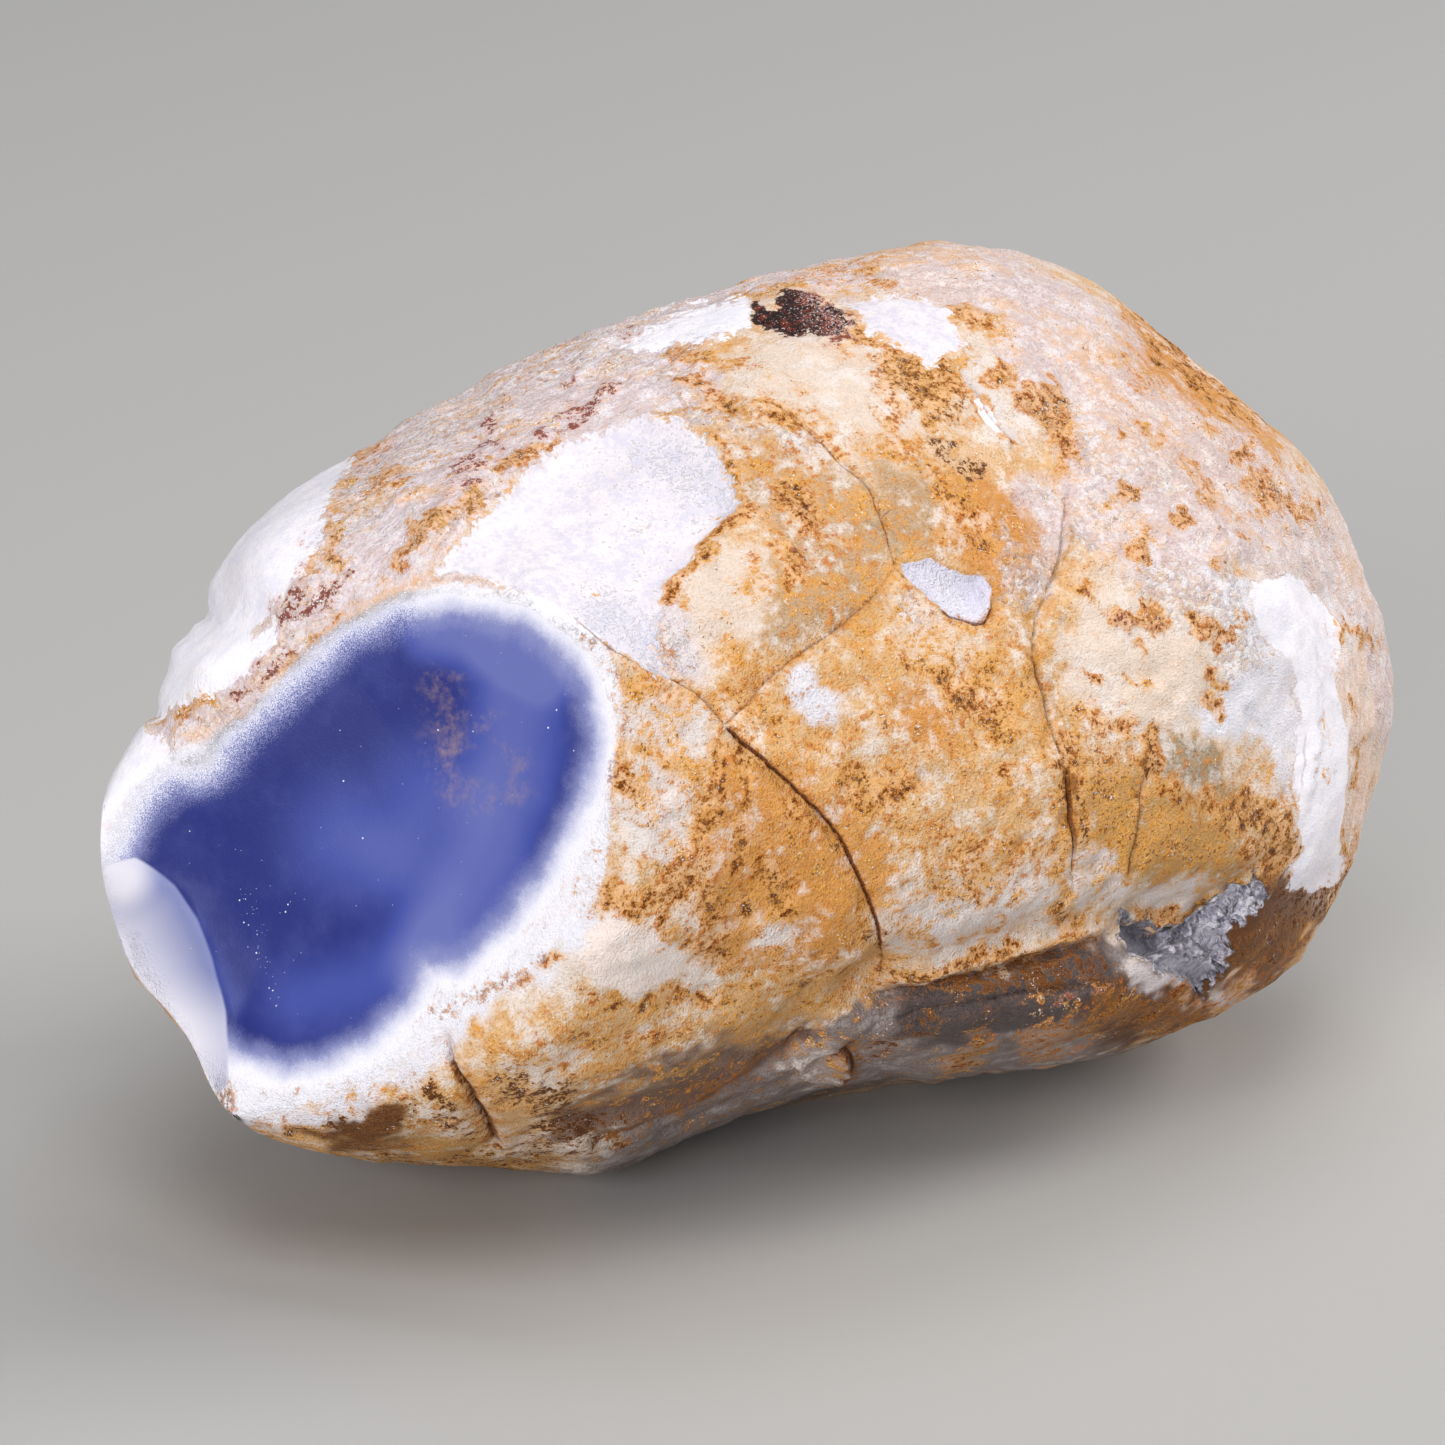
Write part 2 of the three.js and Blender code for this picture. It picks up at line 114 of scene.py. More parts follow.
# how deep a place lies inside a closed rim, in mm: below zero outside it
def insideBy(rim, across, rise):
    inside = np.zeros(len(across), bool)
    for (ax, ay), (bx, by) in zip(rim, rim[-1:] + rim[:-1]):
        if ay != by:
            crosses = (ay > rise) != (by > rise)
            inside ^= crosses & (across < (bx - ax) * (rise - ay) / (by - ay) + ax)
    gap = offPath(rim + rim[:1], across, rise)[0]
    return np.where(inside, gap, -gap)


# a smooth line through the points of a path
def curved(path, step=0.5):
    points = [Vector((x, y, 0)) for x, y in path]
    ends = [points[0] * 2 - points[1]] + points + [points[-1] * 2 - points[-2]]
    made = []
    for before, a, b, after in zip(ends, ends[1:], ends[2:], ends[3:]):
        count = max(int((b - a).length / step), 1)
        for i in range(count):
            t = i / count
            straight = 2 * a + (b - before) * t
            bend = (2 * before - 5 * a + 4 * b - after) * t * t
            twist = (3 * a - before - 3 * b + after) * t**3
            p = 0.5 * (straight + bend + twist)
            made.append((p.x, p.y))
    return made + [tuple(path[-1])]


def noiseOver(points, size, start=0.0, octaves=1):
    shift = Vector((start, 2.3 * start, -1.7 * start))
    if octaves == 1:
        return np.array([noise.noise(Vector(p) / size + shift) for p in points])
    return np.array([noise.fractal(Vector(p) / size + shift, 0.9, 2.1, octaves) for p in points])


def deselectAll():
    bpy.ops.object.select_all(action="DESELECT")


def applyModifier(piece, kind, **settings):
    modifier = piece.modifiers.new(kind.lower(), kind)
    for name, value in settings.items():
        setattr(modifier, name, value)
    bpy.ops.object.modifier_apply(modifier=modifier.name)


def makeCamera():
    deselectAll()
    bpy.ops.object.camera_add(location=Vector(eyePlace * mm))
    camera = bpy.context.object
    camera.name = "showCamera"
    camera.rotation_euler = Vector(-backAxis).to_track_quat("-Z", "Y").to_euler()
    camera.data.sensor_width = sight["sensor"]
    camera.data.lens = sight["sensor"] * sight["distance"] / sight["fieldWidth"]
    camera.data.clip_start, camera.data.clip_end = sight["clip"]
    bpy.context.scene.camera = camera


# floor and light: each lamp has its place, size, watts and colour
studio = {
    "floorSize": 6,
    "floorColour": (0.46, 0.455, 0.445, 1),
    "floorRoughness": 0.9,
    "worldColour": (0.93, 0.95, 1, 1),
    "worldStrength": 0.23,
    "lamps": {
        "keyLamp": ((-0.2, -0.28, 0.62), 0.36, 1.62, (1, 0.99, 0.97)),
        "topLamp": ((0.2, 0.12, 0.7), 0.4, 1.4, (1, 1, 1)),
        "rightLamp": ((0.56, -0.2, 0.36), 0.3, 2.6, (1, 0.98, 0.96)),
        "leftLamp": ((-0.62, -0.36, 0.22), 0.36, 3.35, (0.98, 0.98, 1)),
    },
}


def makeStudio():
    deselectAll()
    bpy.ops.mesh.primitive_plane_add(size=studio["floorSize"], location=(0, 0, 0))
    floor = bpy.context.object
    floor.name = "floor"
    material = bpy.data.materials.new("paleFloor")
    material.use_nodes = True
    surface = material.node_tree.nodes["Principled BSDF"]
    surface.inputs["Base Color"].default_value = studio["floorColour"]
    surface.inputs["Roughness"].default_value = studio["floorRoughness"]
    floor.data.materials.append(material)
    for name, (place, size, watts, colour) in studio["lamps"].items():
        bpy.ops.object.light_add(type="AREA", location=place)
        light = bpy.context.object
        light.name = name
        light.data.size = size
        light.data.energy = watts
        light.data.color = colour
        light.rotation_euler = (Vector(aim * mm) - Vector(place)).to_track_quat("-Z", "Y").to_euler()
    world = bpy.data.worlds.new("paleRoom")
    world.use_nodes = True
    background = world.node_tree.nodes["Background"]
    background.inputs["Color"].default_value = studio["worldColour"]
    background.inputs["Strength"].default_value = studio["worldStrength"]
    bpy.context.scene.world = world
    bpy.context.scene.view_settings.view_transform = "Standard"


makeCamera()
makeStudio()
print("camera, floor and light made")

# The broken end: a plane with a slight dish, and a chip that falls away from its ridge to the outline.
brokenEnd = {
    "rim": [
        (-37, -9), (-36.4, -5), (-33.8, -3.2), (-31.4, -1.6), (-28.8, -1.1), (-26.2, 0.6), (-22.4, 4.6),
        (-18.2, 7), (-14.9, 7.9), (-10.1, 7.1), (-6.8, 5), (-5.6, 1.8), (-6, -2.1), (-6.2, -6),
        (-6.9, -9.9), (-10.1, -13.3), (-14, -16.4), (-17.9, -18.8), (-21.8, -20.9), (-25.6, -21.9),
        (-28, -24), (-31, -20.5), (-35, -14),
    ],
    "towards": 31.8,
    "slopeAcross": 0.42,
    "slopeRise": 0.06,
    "dish": 1.1,
    "dishReach": 9,
    "settle": 0.9,  # the skin's edge rounds over into the face within this width
    "chipRidge": [
        (-37, -6.4), (-32.4, -7.8), (-31.2, -8.5), (-30.1, -9.4), (-29.4, -10.8), (-28.6, -12.4),
        (-28, -14.8), (-27.6, -16.1), (-27.4, -18.8), (-27.4, -24),
    ],
    "chipFall": 0.95,
    "chipStarts": (5, 13),  # the fall grows from nothing to its full slope between these depths
    "ridgePale": (0.25, -0.12),  # how much paler per mm off the ridge, and the start at the ridge
    "chipTop": (-33.4, -8.2),  # a pale tip, with how pale it is and its reach
    "topPale": 0.95,
    "topReach": (0.5, 2.6),
    "footPale": 0.7,  # and a pale foot between these depths
    "footReach": (13, 18),
}

# Edge of the blue inside, where it is half way to white.
blueEdge = [
    (-32.7, -6.9), (-31.8, -4.9), (-30.4, -3.5), (-28.3, -3.1), (-27.6, -2.5), (-27.2, -1.4), (-26, -0.3),
    (-23.5, 2.1), (-20.7, 4.6), (-17.9, 5.8), (-15.1, 6.2), (-11.2, 5.5), (-9, 4), (-7.5, 1.8), (-7, -1),
    (-7.8, -4.3), (-9.6, -7.8), (-12.4, -11.5), (-14.5, -13.5), (-15.4, -13.3), (-16.6, -13.4),
    (-17.5, -15.5), (-19.6, -17.6), (-22.4, -18.9), (-24.3, -19.1), (-26.5, -18.5), (-28.2, -17.4),
    (-29.2, -15.7), (-30.1, -13.5), (-31.4, -11.2), (-32.6, -9.6), (-33.5, -8.3), (-33, -7.4),
]

# The chip's lavender face, left of the ridge.
chipRim = [
    (-33.9, -7.8), (-32.6, -7.5), (-31.8, -8), (-31.1, -8.5), (-30.4, -9.1), (-29.8, -10), (-29.2, -10.9),
    (-28.8, -11.9), (-28.4, -13), (-28.1, -14.2), (-27.8, -15.2), (-27.6, -16.1), (-27.5, -18.2),
    (-27.5, -20.1), (-28, -20.6), (-29.2, -18.6), (-31.7, -17.4), (-33.8, -14.6), (-35, -10.7), (-35, -8.3),
]

# Cracks: width at the skin and depth in mm, how far one side stands above the other, how dark the line
# is, over what length each end dies out, and the path.
cracks = [
    (0.14, 0.2, -0.25, 0.6, (2, 0.2), [(-9, 6.6), (-6.8, 4.6), (-4.6, 3.2), (-1.8, 1.8), (0.1, -0.2)]),
    (0.11, 0.22, 0.3, 0.95, (0.4, 3), [(0.1, -0.2), (2.1, -1.9), (3.8, -3.4), (6.1, -5.8), (7.4, -8.1),
        (8.3, -10.1), (8.8, -12.1), (8.8, -14.6)]),
    (0.1, 0.2, -0.25, 0.52, (0.3, 2), [(0.1, -0.2), (1.4, 1.1), (2.6, 2.4), (4.3, 3.8), (6.1, 5),
        (8.2, 6.8), (9.6, 8.5)]),
    (0.12, 0.12, 0.1, 0.6, (0.5, 2), [(9.6, 8.5), (9.3, 9.6), (9, 10.7), (8.5, 11.9), (8.1, 12.9),
        (6.8, 14.3), (5.4, 15.7), (3.8, 17.1), (1.8, 18.2)]),
    (0.12, 0.12, 0, 0.3, (0.3, 1.5), [(9, 11.5), (10.1, 12.6), (11.2, 13.5), (13.2, 15.1)]),
    (0.12, 0.16, -0.1, 0.35, (0.3, 0.2), [(9.6, 8.5), (10.5, 7.9), (11.2, 7.2), (12.1, 6.4)]),
    (0.14, 0.25, 0.3, 0.7, (0.4, 1), [(12.1, 6.4), (12.8, 6), (13.5, 5.8), (14, 5.5), (14.6, 5.6),
        (15, 6.4), (14.9, 7.2)]),
    (0.3, 0.3, 0.3, 0.12, (3, 0.2), [(19.5, 14), (19.1, 11.2), (18.9, 9), (18.1, 7.1), (17.6, 5.7),
        (17.5, 3.5), (18, 1.8), (18.5, 0.1), (19, -1.8)]),
    (0.12, 0.22, 0.3, 0.75, (1.6, 4), [(19, -1.8), (19.2, -3.2), (19.5, -5.4), (19.6, -7.1), (19.4, -9.9)]),
    (0.12, 0.2, -0.25, 0.7, (3, 0.6), [(23.8, -0.3), (23.6, -1.5), (23.5, -2.4), (23.3, -3.5), (23, -6),
        (22.6, -7.9), (22.6, -8.8)]),
    (0.5, 0.6, 0.45, 0.8, (3.4, 0.5), [(-15.8, -16.2), (-15.4, -17.6), (-14.9, -19.3), (-13.6, -21.2),
        (-13, -22.2), (-12.4, -23.6)]),
    (0.14, 0.1, 0.1, 0.15, (2, 2), [(-0.8, -2.2), (-0.9, -3.8), (-1.1, -7.1), (-1, -11)]),
    (0.14, 0.1, 0.1, 0.15, (2, 2), [(1, -2.5), (1.1, -3.8), (1.2, -6), (0.9, -8.8)]),
    (0.16, 0.25, -0.3, 0.5, (2, 0.5), [(14, 18.5), (14.8, 17.2), (15.5, 16.1), (16.2, 15.2)]),
    (0.3, 0.2, -0.2, 0, (1, 1), [(12.4, 20.6), (13.3, 19.5), (14.4, 17.8)]),
    (0.12, 0.15, 0.1, 0.45, (1, 1), [(32.4, 0.1), (32.3, -2.1), (32, -4.3)]),
    (0.16, 0.2, -0.25, 0.45, (2, 2), [(35, 1.2), (35.3, -1), (35.4, -2.9), (34.9, -6)]),
    (0.1, 0.2, -0.35, 0.35, (1.5, 1.5), [(-12.4, 13.8), (-13.3, 12.9), (-14.5, 11.5), (-15.4, 10.2),
        (-16.4, 9.1)]),
    (0.8, 0.5, 0.6, 0.45, (1, 1), [(-7.4, -23.3), (-4.6, -22.3), (-1.2, -20.5), (2.1, -18.8),
        (4.6, -17.4)]),
    (0.6, 0.35, 0.3, 0.1, (2, 2), [(-3.5, -23.2), (-0.1, -21.5), (3.8, -19.9), (7.1, -18.1), (8.8, -16.5)]),
    (0.9, 0.55, 0.7, 0.5, (1, 1), [(8.3, -15.2), (11.5, -14.5), (15.4, -13.5), (18.8, -12.6),
        (22.2, -11.6)]),
    (0.6, 0.3, 0.3, 0.15, (2, 2), [(8.8, -16.6), (12.6, -15.9), (17.1, -14.9), (21, -14.6)]),
    (0.24, 0.25, -0.25, 0.8, (0.5, 0.5), [(6.3, -18.1), (7.1, -18.9), (7.2, -19.9), (6.4, -20.6)]),
]
farCracks = [
    (0.3, 0.4, 0.2, 0.7, (2, 2), [(-18, 3), (-9, 1), (-2, 3.5), (5, 1.5), (14, 2)]),
    (0.25, 0.3, 0.1, 0.5, (0.3, 3), [(-2, 3.5), (-1, 9), (2, 14)]),
    (0.3, 0.4, -0.2, 0.6, (3, 3), [(20, 12), (17, 3), (20, -6)]),
]

# What all cracks share.
crackShape = {
    "wander": (0.7, 0.05),  # size of the noise, and how far the path strays
    "front": 0.02,  # how much the skin turns to the camera's side for the near cracks to show
    "back": -0.05,  # and away from it for the far ones
    "unitWidth": 0.3,  # the width that the line's colour is measured for
    "reach": 1.2,  # how far off the path the line's distance is kept
    "farSide": 3.0,  # and what stands for further off
    "halo": (0.5, 1.1),
    "grooveShare": 0.75,  # half width of the groove, as a share of the width
    "groovePower": 0.8,
    "endDepth": 0.35,  # depth at a path's end, as a share of the full one
    "stepReach": (0.1, 2.2),
    "tipStart": -0.1,
}

# Ledges: the skin on one side of the path (1 left, -1 right) stands proud by this height and sinks back
# within the reach.
ledges = [
    (0.35, 1.6, -1, [(31.5, 7.4), (32.8, 4.6), (33.1, 1.2), (33.1, -2.1), (32.5, -6)]),
    (0.3, 1.2, -1, [(33.8, 6.8), (34.8, 3.5), (35, 0.1), (34.9, -3.2), (34.2, -6.5)]),
    (0.5, 2, 1, [(8.8, -15), (12.6, -14), (16, -12.9), (18.8, -12.1), (22.1, -11.2)]),
    (0.45, 1.2, 1, [(3.8, -18.3), (4.3, -19.6), (5.9, -20.4), (7, -19.4), (6.6, -18.1)]),
    (0.4, 1.6, 1, [(-6.8, -23.2), (-3.5, -22), (-0.1, -20.1), (3.2, -18.2)]),
    (0.25, 1.2, 1, [(-5.4, 3), (-6.1, 0.1), (-6.5, -3.2), (-6.6, -6.5), (-7, -9.9)]),
]

# Small swells and dents of the outline: where, how far each reaches and how far it stands out.
swells = [
    ((-28.6, 5.9), 0.9, -0.5), ((-31.7, 0.6), 1.1, -0.6), ((-28.4, 7.5), 1.2, 0.3), ((-30.3, 4), 1.1, 0.35),
    ((8.8, -20), 3.2, -0.5), ((5.4, -20.6), 3, -0.4), ((-32.4, -14), 2.2, 0.3), ((-14.6, 18.4), 2.4, -0.35),
]

# Chalky places where the skin has flaked off: how far each lies above the skin, how white it is, how
# sharp its edge is, and its rim.
chalkPlaces = [
    (-0.3, 0, 1.2, [(-16.2, 8.1), (-14.9, 9.9), (-13.5, 11.5), (-11.8, 13), (-9.7, 15), (-7.4, 16.5),
        (-4.6, 17.2), (-1.8, 16.6), (0, 14.7), (0.9, 12.4), (0, 11.6), (-0.9, 10.5), (-1.8, 9), (-3, 8.2),
        (-3.4, 7), (-3.6, 4.6), (-3, 2.1), (-4.6, 3.1), (-6.8, 4.5), (-9, 5.8), (-11.5, 7.2), (-14, 8.2)]),
    (0, 0.75, 1.2, [(-29.9, 5), (-29.9, 7.9), (-28.2, 11), (-25.1, 13.2), (-22.2, 15.4), (-20.4, 14.8),
        (-21.7, 12.5), (-22.2, 10.1), (-23.3, 8.1), (-23.9, 6.9), (-25.8, 5.6), (-26.9, 4.6)]),
    (0, 1, 1.2, [(-33.1, 0.1), (-31.2, 4.3), (-29, 6.1), (-26.2, 4.9), (-24.4, 5.7), (-25, 4), (-26.6, 2.4),
        (-28.9, 1.2), (-30.6, 0.6)]),
    (0, 0.8, 1, [(-35.7, -7.6), (-35.5, -3.2), (-33.2, 0.4), (-30.9, -1.1), (-30.6, -2.2), (-28.8, -2.8),
        (-27.5, -2.8), (-27.4, -1.5), (-26.6, -0.5), (-26.2, 0.4), (-25.6, 1.2), (-24.8, 1.2),
        (-26.8, -2.9), (-30.7, -4.3), (-32.5, -7.6), (-33, -14.9)]),
    (0, 0.9, 3, [(29.5, 7.7), (31.2, 8.3), (33, 7.2), (34.2, 5.4), (34.2, 2.4), (34.5, -2.1), (34.6, -7.8),
        (34.1, -9.2), (31.4, -9.5), (32.5, -7.2), (32.1, -5.3), (31.9, -2.1), (32.2, 0.4), (31.5, 3.5),
        (30.2, 4.6), (29.6, 5.7)]),
    (0.05, 0, 1.2, [(6.8, 23.5), (7.8, 23.5), (10.1, 23.9), (12.4, 22.8), (13.5, 21), (11.8, 20),
        (10.1, 20.6), (8.1, 21.4), (7.9, 22.2)]),
    (0, 1, 1, [(-5.9, 20.9), (-4, 22), (-1.2, 23.2), (1.5, 23.8), (1.6, 22), (-1, 21.2), (-4, 20.6)]),
    (-0.1, 1, 3, [(14.1, 18.1), (14.5, 18), (15.2, 17), (15.5, 16.1), (15.2, 15.9), (14.6, 16.5),
        (14.2, 17.2)]),
]
farChalk = [
    (-0.3, 0.5, 1, [(-20, -13), (-24, -8), (-29, -5), (-27, 1), (-28, 6), (-22, 4), (-19, 5), (-19, 0),
        (-15, -3), (-17, -8)]),
    (-0.15, 0.5, 1, [(7, 16), (12, 19), (17, 18), (21, 16), (18, 13), (15, 14), (11, 12)]),
]

# The hollow of grey crystals, and broad smooth faces between them: depth, lightness and rim; the lightness is
# painted shade, how each face is lit.
hollowRim = [
    (22.2, -10.1), (22.6, -10.7), (23.8, -11.2), (24.8, -11.6), (25.7, -11.2), (26.8, -10.5), (27.2, -9.8),
    (28.5, -9), (29.3, -8.8), (29.8, -8.1), (30, -9.2), (30.5, -9.9), (29.8, -10.5), (29, -11.2),
    (27.8, -11.8), (28.5, -12.9), (27.8, -14.3), (26.5, -15.1), (25.3, -14.6), (24.3, -13.8), (23.5, -13),
    (22.6, -12.6), (22.4, -11.8),
]
hollowFaces = [
    (0.9, 0.38, [(22.3, -9.9), (23.2, -10.5), (24.3, -11.2), (24.9, -11.9), (24.8, -12.6), (23.8, -12.9),
        (22.9, -12.4), (22.5, -11.5)]),
    (0.4, 0.52, [(26.8, -12), (27.8, -11.6), (28.5, -12.4), (27.9, -13.4), (27, -13.1)]),
    (0.2, 0.6, [(24.3, -13.2), (25.4, -12.9), (26.5, -13.1), (27.4, -13.6), (27.3, -14.4), (26.3, -15),
        (25.2, -14.5), (24.5, -14)]),
]

# A flake's smooth bluish bed.
flakeRim = [
    (9.9, 8.9), (10.8, 9), (11.5, 9.2), (12.4, 8.6), (13.5, 8.2), (14.5, 8.2), (15, 7.5), (15.1, 6.2),
    (14.6, 5.5), (13.5, 5.6), (12.6, 5.9), (12, 6.5), (11.1, 7.4), (10.3, 8),
]

# A dark spot near the top.
spotRim = [
    (1.4, 22.4), (1.8, 22.6), (1.6, 23.1), (2, 23.2), (2.3, 22.9), (2.9, 22.9), (2.9, 23.4), (3.4, 23.6),
    (4.5, 23.8), (5.2, 23.5), (5.5, 23.1), (6.6, 23.1), (7, 22.5), (7.2, 22.1), (7.9, 22.1), (7.6, 22),
    (6.5, 21.4), (6, 21.4), (5.2, 21.5), (4.6, 21.6), (4.2, 21.5), (3.4, 21.4), (2.2, 21.8), (1.8, 22.1),
]

# How light the blue is, as a painted sheen: a band through the low side, and spots with their reach, gain and
# path.
blueSheenBand = {
    "path": [(-11.5, 3.8), (-11.8, -2.1), (-12.8, -7.1), (-16.1, -13.2)],
    "reach": (0.4, 3.6),
    "base": 0.08,
    "gain": 0.72,
}
blueSheenSpots = [
    (1.8, 0.16, [(-9.9, 1.8), (-8.9, -1), (-9.9, -4.3)]),
    (3, 0.12, [(-19, -7.1), (-16.2, -9.9)]),
    (2.4, 0.85, [(-16.2, 4.9), (-12.4, 4), (-9.6, 2.6)]),
    (5.5, 0.5, [(-20.7, -6.5), (-17.9, -7.1), (-16.2, -4.3)]),
    (3.4, 0.42, [(-23.5, -15.4), (-20.1, -14.6), (-16.8, -12.6)]),
    (1.5, 0.25, [(-29.6, -11.5), (-27.4, -15.4)]),
]

colours = {
    "chalk": (0.87, 0.85, 0.925),
    "cream": (0.84, 0.68, 0.565),
    # a pale cream raised above the stone's own to make up for light that falls short on the low front: partly
    # painted light
    "bright": (0.98, 0.84, 0.77),
    "sand": (0.8, 0.49, 0.23),
    "tan": (0.71, 0.32, 0.08),
    "peach": (0.86, 0.6, 0.47),
    "quartz": (0.79, 0.62, 0.6),
    "greyWhite": (0.81, 0.71, 0.67),
    # near black grey for painted shade under the low ledge
    "smoke": (0.1, 0.078, 0.077),
    "earth": (0.21, 0.13, 0.1),
    "plate": (0.5, 0.41, 0.38),
    "mist": (0.76, 0.68, 0.71),
    "glow": (0.96, 0.7, 0.54),
    "lilac": (0.88, 0.76, 0.83),
    # the underside's grey darkened: painted shade
    "shade": (0.27, 0.22, 0.21),
    "olive": (0.58, 0.32, 0.1),
    "greenGrey": (0.44, 0.34, 0.23),
    "orange": (0.74, 0.33, 0.09),
    "umber": (0.15, 0.055, 0.016),
    "fawn": (0.57, 0.37, 0.21),
}
crustColours = ("quartz", "peach", "lilac")
cleanColours = ("cream", "chalk", "greyWhite", "glow", "mist", "bright")

